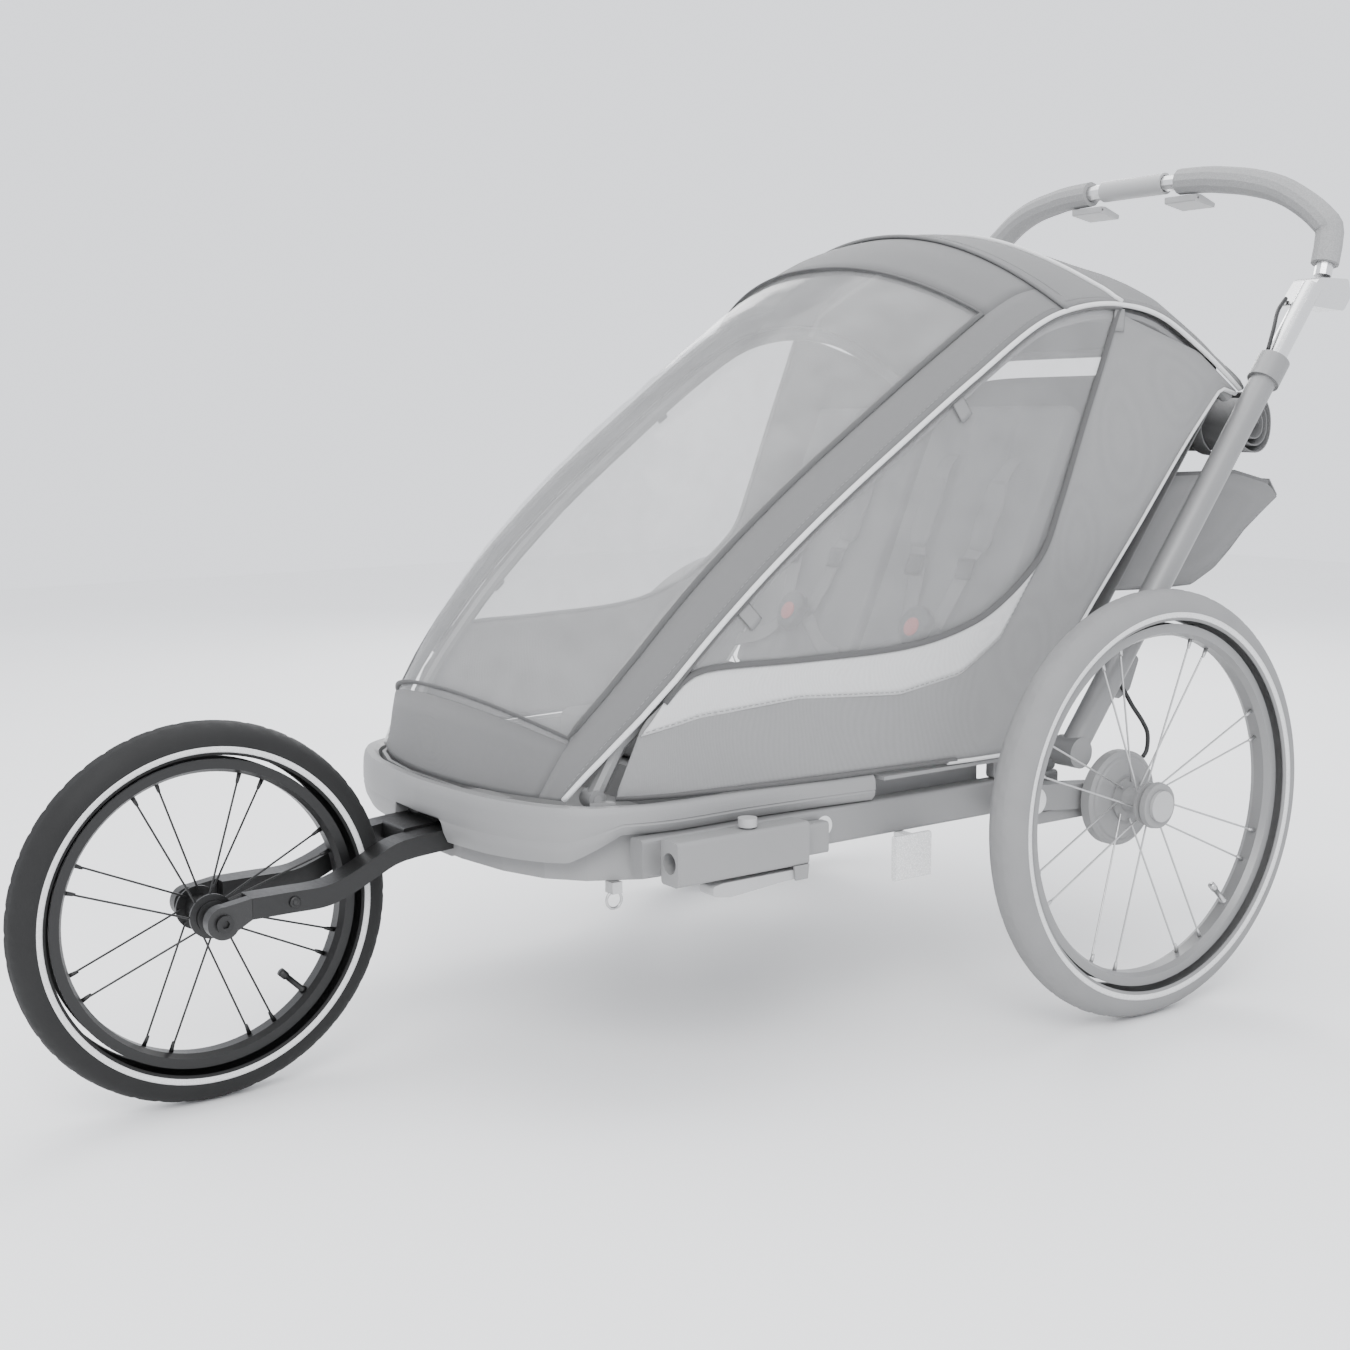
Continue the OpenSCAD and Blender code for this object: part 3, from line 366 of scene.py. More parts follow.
def made(name, points, faces, finish, smooth=True):
    mesh = bpy.data.meshes.new(name)
    mesh.from_pydata([tuple(p) for p in points], [], faces)
    mesh.materials.append(finish)
    tidy = bmesh.new()
    tidy.from_mesh(mesh)
    bmesh.ops.recalc_face_normals(tidy, faces=tidy.faces)
    tidy.to_mesh(mesh)
    tidy.free()
    if smooth:
        mesh.polygons.foreach_set("use_smooth", [True] * len(mesh.polygons))
    piece = bpy.data.objects.new(name, mesh)
    bpy.context.scene.collection.objects.link(piece)
    return piece


def bevelled(piece, width, segments=2, angle=35):
    m = piece.modifiers.new("edge", "BEVEL")
    m.width, m.segments, m.limit_method, m.angle_limit = width * MM, segments, "ANGLE", math.radians(angle)
    m.harden_normals = False
    apply_modifiers(piece)
    piece.data.polygons.foreach_set("use_smooth", [True] * len(piece.data.polygons))
    piece.data.set_sharp_from_angle(angle=math.radians(40))
    return piece


def smoothed(piece, levels=1):
    m = piece.modifiers.new("round", "SUBSURF")
    m.levels = m.render_levels = levels
    return apply_modifiers(piece)


def merged(name, pieces):
    joined = bmesh.new()
    finishes = []
    for p in pieces:
        start = len(joined.faces)
        joined.from_mesh(p.data)
        joined.faces.ensure_lookup_table()
        for finish in p.data.materials:
            if finish not in finishes:
                finishes.append(finish)
        for face in joined.faces[start:]:
            face.material_index = finishes.index(p.data.materials[face.material_index])
        bpy.data.objects.remove(p)
    mesh = bpy.data.meshes.new(name)
    joined.to_mesh(mesh)
    joined.free()
    for finish in finishes:
        mesh.materials.append(finish)
    whole = bpy.data.objects.new(name, mesh)
    bpy.context.scene.collection.objects.link(whole)
    return whole


# %% Sheets, tubes, turned and extruded shapes
def sheet_of(name, rows, finish, thick=0.0, offset=-1.0):
    n = len(rows[0])
    faces = [(i * n + j, i * n + j + 1, (i + 1) * n + j + 1, (i + 1) * n + j)
             for i in range(len(rows) - 1) for j in range(n - 1)]
    piece = made(name, [p for row in rows for p in row], faces, finish)
    if thick:
        m = piece.modifiers.new("cloth", "SOLIDIFY")
        m.thickness, m.offset = thick * MM, offset
        apply_modifiers(piece)
    return piece


def ring_frames(path):
    frames, side = [], None
    for i, p in enumerate(path):
        ahead = (path[min(i + 1, len(path) - 1)] - path[max(i - 1, 0)]).normalized()
        if side is None:
            side = ahead.orthogonal().normalized()
        side = (side - ahead * side.dot(ahead)).normalized()
        frames.append((p, side, ahead.cross(side)))
    return frames


def tube(name, path, radius, finish, sides=14, flat=1.0, wide=None):
    rows = []
    for i, (p, side, up) in enumerate(ring_frames(path)):
        if wide is not None:
            ahead = side.cross(up)
            side = (wide - ahead * wide.dot(ahead)).normalized()
            up = ahead.cross(side)
        r = radius(i / (len(path) - 1)) if callable(radius) else radius
        rows.append([p + (math.cos(a) * side + flat * math.sin(a) * up) * r * MM
                     for a in (2 * math.pi * k / sides for k in range(sides))])
    faces = [(i * sides + j, i * sides + (j + 1) % sides, (i + 1) * sides + (j + 1) % sides,
              (i + 1) * sides + j) for i in range(len(rows) - 1) for j in range(sides)]
    faces += [tuple(range(sides)), tuple((len(rows) - 1) * sides + j for j in range(sides))]
    return made(name, [p for row in rows for p in row], faces, finish)


def turned(name, profile, centre, finish, steps=96, shape=None):
    points = []
    for k in range(steps):
        a = 2 * math.pi * k / steps
        for r, x in profile:
            if shape:
                r = shape(r, x, k)
            points.append(Vector((x * MM, centre.y + r * MM * math.cos(a), centre.z + r * MM * math.sin(a))))
    n = len(profile)
    faces = [(k * n + j, k * n + (j + 1) % n, (k + 1) % steps * n + (j + 1) % n, (k + 1) % steps * n + j)
             for k in range(steps) for j in range(n)]
    return made(name, points, faces, finish)


def extruded(name, outline, x0, x1, finish, bevel=2.0, segments=2):
    n = len(outline)
    points = [at(x, y, z) for x in (x0, x1) for y, z in outline]
    faces = [tuple(range(n)), tuple(range(n, 2 * n))]
    faces += [(j, (j + 1) % n, n + (j + 1) % n, n + j) for j in range(n)]
    piece = made(name, points, faces, finish, False)
    return bevelled(piece, bevel, segments) if bevel else piece


def catmull(points, n):
    out = []
    vectors = [Vector(p) for p in points]
    for i in range(len(vectors) - 1):
        a, b = vectors[max(i - 1, 0)], vectors[i]
        c, d = vectors[i + 1], vectors[min(i + 2, len(vectors) - 1)]
        for k in range(n):
            t = k / n
            out.append(0.5 * (2 * b + (c - a) * t + (2 * a - 5 * b + 4 * c - d) * t * t
                              + (3 * b - a - 3 * c + d) * t * t * t))
    return out + [vectors[-1]]


def lookup(value, table):
    if value <= table[0][0]:
        return table[0][1]
    for (x0, y0), (x1, y1) in zip(table, table[1:]):
        if value <= x1:
            return y0 + (y1 - y0) * (value - x0) / (x1 - x0)
    return table[-1][1]


print("mesh helpers ready")

# %% [markdown]
# ## Tyres
# A bicycle tyre is a round carcass with a tread moulded on top. A turned profile gives the carcass,
# and the radius is pulled in along grooves as the profile goes round, so the tread is real geometry.
# The reflective stripe is its own thin ring that lies on the sidewall.

# %% Tyres with tread and stripes
TREAD_HIGH, LANE, BLOCK_STEPS, CUT_DEEP, GROOVE_DEEP, STRIPE_PROUD = 7, 6, 6, 0.8, 0.9, 0.35


def tread(r, x, k, top):
    """Pulls the radius in at the cuts between the tread's blocks; k counts the steps round the wheel."""
    in_cut = (k + 2 * int(abs(x) / LANE)) % BLOCK_STEPS == 0
    return r - CUT_DEEP if in_cut and r >= top - TREAD_HIGH else r


def tyre(name, node, centre, width, steps, rubber_finish, body):
    low, high = (Vector(p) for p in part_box(node))
    outer = (high.z - low.z) / 2 / MM
    half = width / 2
    middle = outer - half
    seat = math.radians(232)
    arc = [(middle + half * math.cos(a), half * math.sin(a)) for a in
           (-seat / 2 + seat * k / 30 for k in range(31))]
    inside = [(middle + (half - 3) * math.cos(a), (half - 3) * math.sin(a)) for a in
              (seat / 2 - seat * k / 14 for k in range(15))]
    grooved = [(r - (GROOVE_DEEP if 2.5 < abs(x) % 7 < 4.5 and r > outer - TREAD_HIGH else 0), x)
               for r, x in arc]
    x0 = centre.x / MM
    profile = [(r, x + x0) for r, x in grooved + inside]
    piece = turned(name, profile, centre, rubber_finish, steps, lambda r, x, k: tread(r, x - x0, k, outer))
    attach(piece, body)
    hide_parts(node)
    for s in (-1, 1):
        angles = [math.radians(d) for d in (92, 96, 100, 104, 107)]
        band = [(middle + (half + STRIPE_PROUD) * math.cos(a), x0 + s * (half + STRIPE_PROUD) * math.sin(a))
                for a in angles]
        under = [(middle + (half - 0.5) * math.cos(a), x0 + s * (half - 0.5) * math.sin(a))
                 for a in reversed(angles)]
        line = turned(f"{name}_stripe_{'near' if s > 0 else 'far'}", band + under, centre, pale_stripe, 120)
        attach(line, body)


tyre("jogger_tyre", "jog_tyre", AXLE, 46, 288, black_rubber, "jog_wheel")
SIDES = {1: "left", -1: "right"}
REAR_HUBS = {word: Vector((s * abs(REAR.x), REAR.y, REAR.z)) for s, word in SIDES.items()}
for word, centre in REAR_HUBS.items():
    tyre(f"rear_tyre_{word}", f"tyre_{word}", centre, 48, 330, grey_rubber, f"wheel_{word}")
print("tyres made")

# %% [markdown]
# ## Rims' nipples and valves
# Each spoke ends in a small nipple at the rim, and each rim has one tyre valve. They are tiny, but a
# wheel without them looks printed.

# %% Nipples and valves
JOG_RIM_R, REAR_RIM_R, SPOKE_PAIRS, PAIR_HALF, VALVE_AT = 146.0, 195.5, 8, 5.5, -45


def wheel_trim(centre, body, finish, r):
    pieces = []
    for k in range(SPOKE_PAIRS):
        for s in (-1, 1):
            a = math.radians((k + 0.5) * 360 / SPOKE_PAIRS + PAIR_HALF * s)
            out = Vector((0, math.cos(a), math.sin(a)))
            foot = centre + out * (r + 1.0) * MM + Vector((2.5 * s * MM, 0, 0))
            pieces.append(tube("nipple", [foot, foot - out * 9 * MM, foot - out * 12 * MM],
                               lambda t: 2.6 - 1.1 * t, finish, 8))
    a = math.radians(VALVE_AT)
    out = Vector((0, math.cos(a), math.sin(a)))
    foot = centre + out * (r + 1.0) * MM
    pieces.append(tube("valve", [foot, foot - out * 4 * MM, foot - out * 5 * MM, foot - out * 26 * MM,
                                 foot - out * 27 * MM, foot - out * 36 * MM],
                       lambda t: 4.4 if t < 0.3 or t > 0.7 else 3.2, finish, 12))
    whole = merged(f"{body}_trim", pieces)
    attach(whole, body)


wheel_trim(AXLE, "jog_wheel", black_metal, JOG_RIM_R)
for word, centre in REAR_HUBS.items():
    wheel_trim(centre, f"wheel_{word}", spoke_steel, REAR_RIM_R)
print("wheel trim made")

# %% [markdown]
# ## The cabin's surface
# Two side hoops carry the covers. Across them the cloth is blown out to a crown that is round at the
# front and boxy at the rear. One function gives any point on that surface, so that window, hems,
# piping and roof all lie on it. It follows the frame's own rule.

# %% Hoops and the cover surface
RIM_Z, RISE, BODY, CROWN = 303, 515, 590, 106
HOOP = [(307, 0.01), (340, 0.092), (400, 0.22), (485, 0.387), (585, 0.552), (690, 0.701), (795, 0.843),
        (885, 0.95), (950, 0.99), (1018, 1), (1090, 0.977), (1163, 0.907), (1218, 0.841), (1240, 0.812)]
TAPER = [(290, 100), (307, 90), (340, 68), (375, 50), (410, 39), (480, 28), (600, 15), (800, 0)]
SHARE = [(307, 0.43), (340, 0.84), (400, 0.96), (480, 1.02), (900, 1.02), (960, 0.96), (1018, 0.93),
         (1060, 0.74), (1100, 0.6), (1240, 0.58)]
POWER = [(900, 2.2), (1018, 1.6), (1060, 2.6), (1110, 5)]
hoop = [(v.x, v.y) for v in catmull([(y, RIM_Z + h * RISE, 0) for y, h in HOOP], 6)]
LAST = len(hoop) - 1


def half_width(y):
    return BODY / 2 - lookup(y, TAPER)


def hoop_normal(i):
    (y0, z0), (y1, z1) = hoop[max(i - 1, 0)], hoop[min(i + 1, LAST)]
    n = math.hypot(y1 - y0, z1 - z0)
    return -(z1 - z0) / n, (y1 - y0) / n


def cover(i, w, lift=0.0):
    """A point of the covers: i runs along the hoop and w from -1 to 1 across."""
    i = min(max(i, 0), LAST)
    low = int(min(i, LAST - 1))
    t = i - low
    spot = []
    for k in (low, low + 1):
        y, z = hoop[k]
        n = hoop_normal(k)
        lean = lookup(y, [(307, 0), (350, 1)])
        d = Vector((0, -(1 - lean) + lean * n[0], lean * n[1])).normalized()
        c = CROWN * lookup(y, SHARE) * (1 - abs(w) ** lookup(y, POWER))
        spot.append(Vector((w * half_width(y), y, z)) + d * c)
    p = spot[0].lerp(spot[1], t)
    if lift:
        p = p + cover_normal(i, w) * lift
    return p


def cover_normal(i, w):
    a, b = cover(max(i - 0.6, 0), w), cover(min(i + 0.6, LAST), w)
    c, d = cover(i, w - 0.015), cover(i, w + 0.015)
    return (d - c).cross(b - a).normalized()


def on_cover(i, w, lift=0.0):
    p = cover(i, w, lift)
    return at(p.x, p.y, p.z)


def index_at(y):
    return next(k for k in range(LAST) if hoop[k][0] >= y)


print("hoop curve of", len(hoop), "points")

# %% [markdown]
# ## Front cover
# The front is one panel: a cloth frame round a clear film. The frame is cut as four strips of the
# same surface, each lifted a little. The film sits behind it. A light piping
# cord runs along both hoops, and it is what the eye reads first.

# %% Front cover, window and piping
ROOF_START, BOW_AT = index_at(930), index_at(1018)
HEM, HEM_ROWS = 0.86, 7


def patch(name, i0, i1, w0, w1, rows, columns, lift, finish, thick, puff=0.0):
    grid = []
    for a in range(rows + 1):
        i = i0 + (i1 - i0) * a / rows
        line = []
        for b in range(columns + 1):
            w = w0 + (w1 - w0) * b / columns
            edge = math.sin(math.pi * a / rows) * math.sin(math.pi * b / columns)
            wave = math.sin(i * 1.7 + w * 9) * math.sin(w * 5.3 - i * 0.6)
            line.append(on_cover(i, w, lift + puff * edge * wave))
        grid.append(line)
    return sheet_of(name, grid, finish, thick)


front_parts = [patch("strip", 0, ROOF_START, s * HEM, s * 1.0, 60, 4, 0.6, cover_cloth, 2.2) for s in (-1, 1)]
front_parts += [patch("strip", 0, HEM_ROWS - 1, -HEM, HEM, 6, 40, 0.6, cover_cloth, 2.2),
                patch("strip", ROOF_START - HEM_ROWS, ROOF_START, -HEM, HEM, 7, 40, 0.6, cover_cloth, 2.2)]
corner_w, bind_lift = HEM - 0.012, 1.6
edge_line = [on_cover(i, corner_w, bind_lift) for i in range(HEM_ROWS, ROOF_START - HEM_ROWS)]
edge_line += [on_cover(ROOF_START - HEM_ROWS, corner_w - 2 * corner_w * k / 40, bind_lift) for k in range(41)]
edge_line += [on_cover(i, -corner_w, bind_lift) for i in range(ROOF_START - HEM_ROWS - 1, HEM_ROWS - 1, -1)]
edge_line += [on_cover(6.4, -corner_w + 2 * corner_w * k / 40, bind_lift) for k in range(41)]
front_parts.append(tube("binding", edge_line + edge_line[:2], 3.2, dark_binding, 8, 0.45))
front_cover = merged("front_cover_cloth", front_parts)
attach(front_cover, "hoop")
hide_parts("front_cover")

front_film = patch("front_film", 5, ROOF_START - 5, -HEM, HEM, 46, 40, -1.6, clear_film, 0.8, 1.5)
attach(front_film, "hoop")
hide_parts("front_window")


def piping(name, line, radius, body, finish=trim_cloth):
    piece = tube(name, line, radius, finish, 10)
    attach(piece, body)
    return piece


for s, word in SIDES.items():
    piping(f"hoop_piping_{word}", [on_cover(i, s * 1.0, 1.0) for i in range(0, LAST + 1)], 3.0, "hoop")
print("front cover made")

# %% [markdown]
# ## Roof
# Behind the front panel the roof is a firmer cloth. It steps over the front panel with a hemmed
# visor edge, is stretched by a bow at the crest, and sags a little between the bows. The seams pull
# small folds out of it.

# %% Roof, bow piping and hem
def roof_lift(i, w):
    y = hoop[min(int(i), LAST)][0]
    sag = -3.0 * math.sin(math.pi * lookup(y, [(1018, 0), (1240, 1)])) * (1 - abs(w) ** 3)
    near_bow = math.exp(-((y - 1018) / 22) ** 2) + math.exp(-((y - 1232) / 14) ** 2)
    folds = 0.9 * math.sin(w * 34 + i * 0.4) * math.exp(-((abs(w) - 0.96) / 0.07) ** 2)
    return 3.2 + sag + 1.4 * near_bow + folds


roof_rows = [[on_cover(i, w, roof_lift(i, w)) for w in (-1 + 2 * k / 72 for k in range(73))]
             for i in (ROOF_START - 1 + (LAST - ROOF_START + 1) * a / 64 for a in range(65))]
roof = sheet_of("roof_cloth", roof_rows, cover_cloth, 2.2)
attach(roof, "hoop")
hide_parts("roof_cover")
whole_width = [-1 + k / 30 for k in range(61)]
piping("roof_bow_piping", [on_cover(BOW_AT, w, roof_lift(BOW_AT, w) + 1.0) for w in whole_width], 3.0, "hoop")
piping("visor_hem", [on_cover(ROOF_START - 1, w, 3.6) for w in whole_width], 2.4, "hoop", cover_cloth)
piping("roof_rear_hem", [on_cover(LAST, w, roof_lift(LAST, w) - 1) for w in whole_width], 3.0, "hoop",
       dark_binding)
print("roof made")

# %% [markdown]
# ## Stitching
# Seams are what makes cloth read as sewn. A run of short raised stitches beside each edge is one mesh
# per seam, because separate stitches would only clutter the part.

# %% Rows of stitches
STITCH_HALF, STITCH_R, STITCH_PITCH = 2.1, 0.45, 7.0


def stitches(name, line, finish):
    pieces, left = [], 0.0
    for a, b in zip(line, line[1:]):
        length = (b - a).length / MM
        while left < length:
            p = a.lerp(b, left / length)
            step = (b - a).normalized() * STITCH_HALF * MM
            pieces.append((p - step, p + step))
            left += STITCH_PITCH
        left -= length
    points, faces = [], []
    for p, q in pieces:
        ahead = (q - p).normalized()
        side = ahead.orthogonal().normalized() * STITCH_R * MM
        up = ahead.cross(side).normalized() * STITCH_R * MM
        n = len(points)
        points += [p + side, p + up, p - side, p - up, q + side, q + up, q - side, q - up]
        faces += [(n + j, n + (j + 1) % 4, n + 4 + (j + 1) % 4, n + 4 + j) for j in range(4)]
        faces += [(n + 3, n + 2, n + 1, n), (n + 4, n + 5, n + 6, n + 7)]
    piece = made(name, points, faces, finish, False)
    return piece


for s, word in SIDES.items():
    front_line = [on_cover(i * 0.5, s * 0.97, 1.1) for i in range(4, 2 * ROOF_START - 2)]
    roof_line = [on_cover(i * 0.5, s * 0.965, roof_lift(i * 0.5, s * 0.965) + 0.3)
                 for i in range(2 * ROOF_START, 2 * LAST)]
    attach(stitches(f"front_seam_{word}", front_line, side_cloth), "hoop")
    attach(stitches(f"roof_seam_{word}", roof_line, side_cloth), "hoop")
visor_line = [on_cover(ROOF_START + 0.4, 0.98 * w, roof_lift(ROOF_START, 0) + 0.4) for w in whole_width]
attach(stitches("visor_seam", visor_line, side_cloth), "hoop")
print("seams made")

# %% [markdown]
# ## Side walls
# A side wall is a cloth panel from the tub up round a clear window. It has a light reflective band
# under the window, light piping at the rear and a dark hem at the tub. Each piece gets its own copy
# of its mesh.

# %% Side panels, bands and windows
WINDOW = [(400, 0.20), (440, 0.26), (560, 0.265), (690, 0.272), (770, 0.30), (833, 0.352), (896, 0.447),
          (925, 0.56), (958, 0.72), (990, 0.87), (1014, 0.985)]
REAR_EDGE = [(850, 0.0085), (890, 0.10), (935, 0.212), (989, 0.338), (1062, 0.50), (1140, 0.68),
             (1206, 0.816)]


def high(y, h):
    return Vector((y, RIM_Z + h * RISE))


def under_hoop(i, drop=3.5):
    n = hoop_normal(i)
    return Vector((hoop[i][0] - n[0] * drop, hoop[i][1] - n[1] * drop))


def evenly(line, count):
    lengths = [0.0]
    for a, b in zip(line, line[1:]):
        lengths.append(lengths[-1] + (b - a).length)
    out = []
    for k in range(count + 1):
        want = lengths[-1] * k / count
        j = next((m for m in range(1, len(lengths)) if lengths[m] >= want), len(lengths) - 1)
        t = (want - lengths[j - 1]) / max(lengths[j] - lengths[j - 1], 1e-9)
        out.append(line[j - 1].lerp(line[j], min(t, 1)))
    return out


def wall_point(s, p, out=0.0):
    return at(s * (half_width(p.x) - 1 + out), p.x, p.y)


def crumple(piece):
    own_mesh(piece)


def strip(name, s, low, high_line, columns, finish, thick, out=0.0, puff=0.0):
    rows = []
    for a, (p, q) in enumerate(zip(low, high_line)):
        line = []
        for b in range(columns + 1):
            t = b / columns
            bulge = puff * math.sin(math.pi * t) * (1 + 0.5 * math.sin(a * 0.55 + 3 * t))
            line.append(wall_point(s, p.lerp(q, t), out + bulge))
        rows.append(line)
    piece = sheet_of(name, rows, finish, thick, -1.0 if s > 0 else 1.0)
    return piece


PANEL_STEPS, BAND_STEPS = 90, 60
window_line = [Vector((v.x, v.y)) for v in catmull([(*high(y, h), 0) for y, h in WINDOW], 6)]
sewn_line = [Vector((354, RIM_Z + 14)), high(378, 0.16)] + window_line
inner = evenly(sewn_line + [under_hoop(LAST - 12), under_hoop(LAST - 2)], PANEL_STEPS)
outer_line = [high(y, 0.0085) for y in (352, 392, 440, 520, 600, 700, 780)]
outer_line += [Vector((v.x, v.y)) for v in catmull([(*high(y, h), 0) for y, h in REAR_EDGE], 5)]
outer = evenly(outer_line + [under_hoop(LAST) - Vector((4, 2))], PANEL_STEPS)
top_line = evenly([under_hoop(i) for i in range(index_at(402), index_at(1008) + 1)], BAND_STEPS)
low_line = evenly(window_line, BAND_STEPS)
BAND_LOW = [(375, 373), (438, 388), (558, 398), (688, 391), (773, 406), (833, 443), (879, 506), (896, 531)]
BAND_HIGH = [(400, 408), (438, 436), (558, 439), (690, 443), (772, 458), (833, 484), (872, 512), (897, 535)]

for s, word in SIDES.items():
    panel = strip(f"side_cloth_{word}", s, outer, inner, 14, side_cloth, 2.0, 0.0, 1.2)
    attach(panel, "root")
    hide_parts(f"side_panel_{word}")
    crumple(panel)
    band_low = evenly([Vector(p) for p in BAND_LOW], BAND_STEPS)
    band_high = evenly([Vector(p) for p in BAND_HIGH], BAND_STEPS)
    band = strip(f"light_band_{word}", s, band_low, band_high, 6, band_cloth, 0.8, 1.6, 1.0)
    window = strip(f"side_film_{word}", s, [p.lerp(q, 0.004) for p, q in zip(low_line, top_line)], top_line,
                   12, clear_film, 0.8, -1.2, 0.8)
    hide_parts(f"side_window_{word}")
    frame_line = [wall_point(s, p, 1.6) for p in low_line + top_line[::-1]]
    edge = tube(f"window_binding_{word}", frame_line + frame_line[:1], 3.4, dark_binding, 8, 0.5)
    seam = stitches(f"band_seam_{word}", [wall_point(s, p + Vector((0, 3)), 3.0) for p in band_low],
                    side_cloth)
    tail = tube(f"rear_binding_{word}", [wall_point(s, p, 0.6) for p in outer[34:]], 3.0, trim_cloth, 8, 0.7)
    hem = tube(f"tub_hem_{word}", [wall_point(s, p + Vector((0, 2)), 0.8) for p in outer[:36]], 3.2,
               dark_binding, 8, 0.7)
    for piece in (band, window, edge, seam, tail, hem):
        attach(piece, "root")
        crumple(piece)
print("side walls made")

# %% [markdown]
# ## Rear wall
# The rear wall runs from the pivot tube to the roof's rear bow.

# %% Rear wall
PIVOT, REAR_BOW, PIVOT_TUBE_R, BOW_GAP, WALL_HALF = Vector((924, 306)), Vector((1240, 721.2)), 17, 24, 265
WALL_DIR = Vector((0.6056, 0.7957))
FOOT = PIVOT + WALL_DIR * PIVOT_TUBE_R
SPAN = (REAR_BOW - FOOT).length - BOW_GAP
rows = []
for a in range(41):
    line = []
    for b in range(49):
        w = -1 + b / 24
        arch = 53 * (1 - abs(w) ** 5)
        up = (SPAN + arch) * a / 40
        soft = 2.2 * math.sin(a * 0.31 + w * 5) * math.sin(math.pi * a / 40) * (1 - w * w)
        p = FOOT + WALL_DIR * up + Vector((-WALL_DIR.y, WALL_DIR.x)) * soft
        line.append(at(w * WALL_HALF, p.x, p.y))
    rows.append(line)
rear_wall = sheet_of("rear_wall", rows, wall_cloth, 2.2, 0)
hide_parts("rear_panel")
tuple(at(0, 934, 320))
tuple(at(0, 1080, 510))
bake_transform(rear_wall)
print("rear wall made")

# %% [markdown]
# ## Rear bag and rolled rain cover
# The bag is an open pouch of the rear wall's cloth with a bound mouth. The rolled cover is a spiral, and
# its loose layers show at the ends. Two straps with buckles hold it under the roof's rear edge.

# %% Rear bag
BAG_HALF = 247
bag_line = [Vector(p) for p in ((1060, 477), (1110, 475), (1170, 474), (1222, 475), (1266, 494), (1296, 516),
                                (1324, 540), (1358, 562), (1390, 582), (1372, 604))]
rows = []
for a, p in enumerate(evenly(bag_line, 44)):
    line = []
    for b in range(41):
        w = -1 + b / 20
        crease = 2.0 * math.sin(a * 0.9 + 3 * w) * math.sin(math.pi * min(a, 40) / 40) * (1 - w * w)
        line.append(at(w * BAG_HALF, p.x - 1.5 + crease * 0.4, p.y + 2.5 + crease * 0.6))
    rows.append(line)
bag_parts = [sheet_of("bag", rows, wall_cloth, 2.0, 0)]
corner, tip = (1062, 479), (1387, 583)
low_edge = evenly([Vector(p) for p in (corner, (1222, 478), (1264, 497), (1322, 543), tip)], 24)
top_edge = evenly([Vector(p) for p in (corner, (1170, 617), (1300, 617), (1368, 602), tip)], 24)
for s in (-1, 1):
    rows = []
    for k, (low, top) in enumerate(zip(low_edge, top_edge)):
        rows.append([at(s * (BAG_HALF + 1.5 * math.sin(math.pi * b / 10) * math.sin(math.pi * k / 24)),
                        *low.lerp(top, b / 10)) for b in range(11)])
    bag_parts.append(sheet_of("bag_side", rows, wall_cloth, 2.0, 0))
bag = merged("rear_bag_cloth", bag_parts)
half_mouth = [(240, 1371, 604), (246, 1368, 602), (246, 1300, 617), (246, 1170, 617)]
mouth = [at(-x, y, z) for x, y, z in half_mouth[::-1]] + [at(0, 1373, 602)] + [at(*p) for p in half_mouth]
bag_hem = tube("rear_bag_hem", mouth, 3.4, dark_binding, 10, 0.7)

# %% Rolled cover and its straps
ROLL_Y, ROLL_Z, TURNS, ROLL_HALF = 1332, 679, 3.2, 246
STRAP_X, STRAP_HALF, BUCKLE_HALF = 187.5, 12.5, 17
roll_rows = []
for a in range(150):
    t = a / 149
    turn = t * TURNS * 2 * math.pi
    radius = 12 + 29 * t
    line = []
    for b in range(33):
        w = -1 + b / 16
        loose = 1.0 + 0.05 * math.sin(3 * turn + 5 * w) * t + 0.03 * math.sin(11 * w) * t
        squeeze = 1 - 0.10 * (math.exp(-((abs(w) - 0.75) / 0.07) ** 2)) * t
        r = radius * loose * squeeze
        line.append(at(w * (ROLL_HALF - 3 * math.sin(turn)), ROLL_Y + 1.06 * r * math.cos(turn),
                       ROLL_Z + r * math.sin(turn)))
    roll_rows.append(line)
roll = sheet_of("cover_roll_cloth", roll_rows, cover_cloth, 1.6, 0)
buckle_line = [(1368, 656), (1381, 656), (1384, 664), (1384, 682), (1380, 690), (1368, 690)]
roll_straps = []
for s in (-1, 1):
    x = s * STRAP_X
    loop = [at(x, ROLL_Y + 43 * math.cos(a), ROLL_Z + 41 * math.sin(a))
            for a in (math.radians(126 - 12 * k) for k in range(29))]
    loop = [at(x, 1241, 737), at(x, 1262, 724)] + loop + [loop[0]]
    roll_straps.append(tube("strap", loop, STRAP_HALF, strap_web, 12, 0.09, ACROSS))
    roll_straps.append(extruded("buckle", buckle_line, x - BUCKLE_HALF, x + BUCKLE_HALF, black_plastic,
                                2.5, 3))
straps = merged("cover_roll_straps", roll_straps)
for piece, nodes in ((bag, ["rear_bag"]), (bag_hem, []), (roll, ["cover_roll"]), (straps, [])):
    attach(piece, "hoop")
    if nodes:
        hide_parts(*nodes)
print("bag and rolled cover made")

# %% [markdown]
# ## Cushions
# A seat cushion is a filled bag of cloth. A cloth simulation with the seams held moves its mesh by
# two millimetres or so at most. A formula then adds the dents between the channels and slow waves,
# which show more. The swell has a limit, and it isn't reached here.

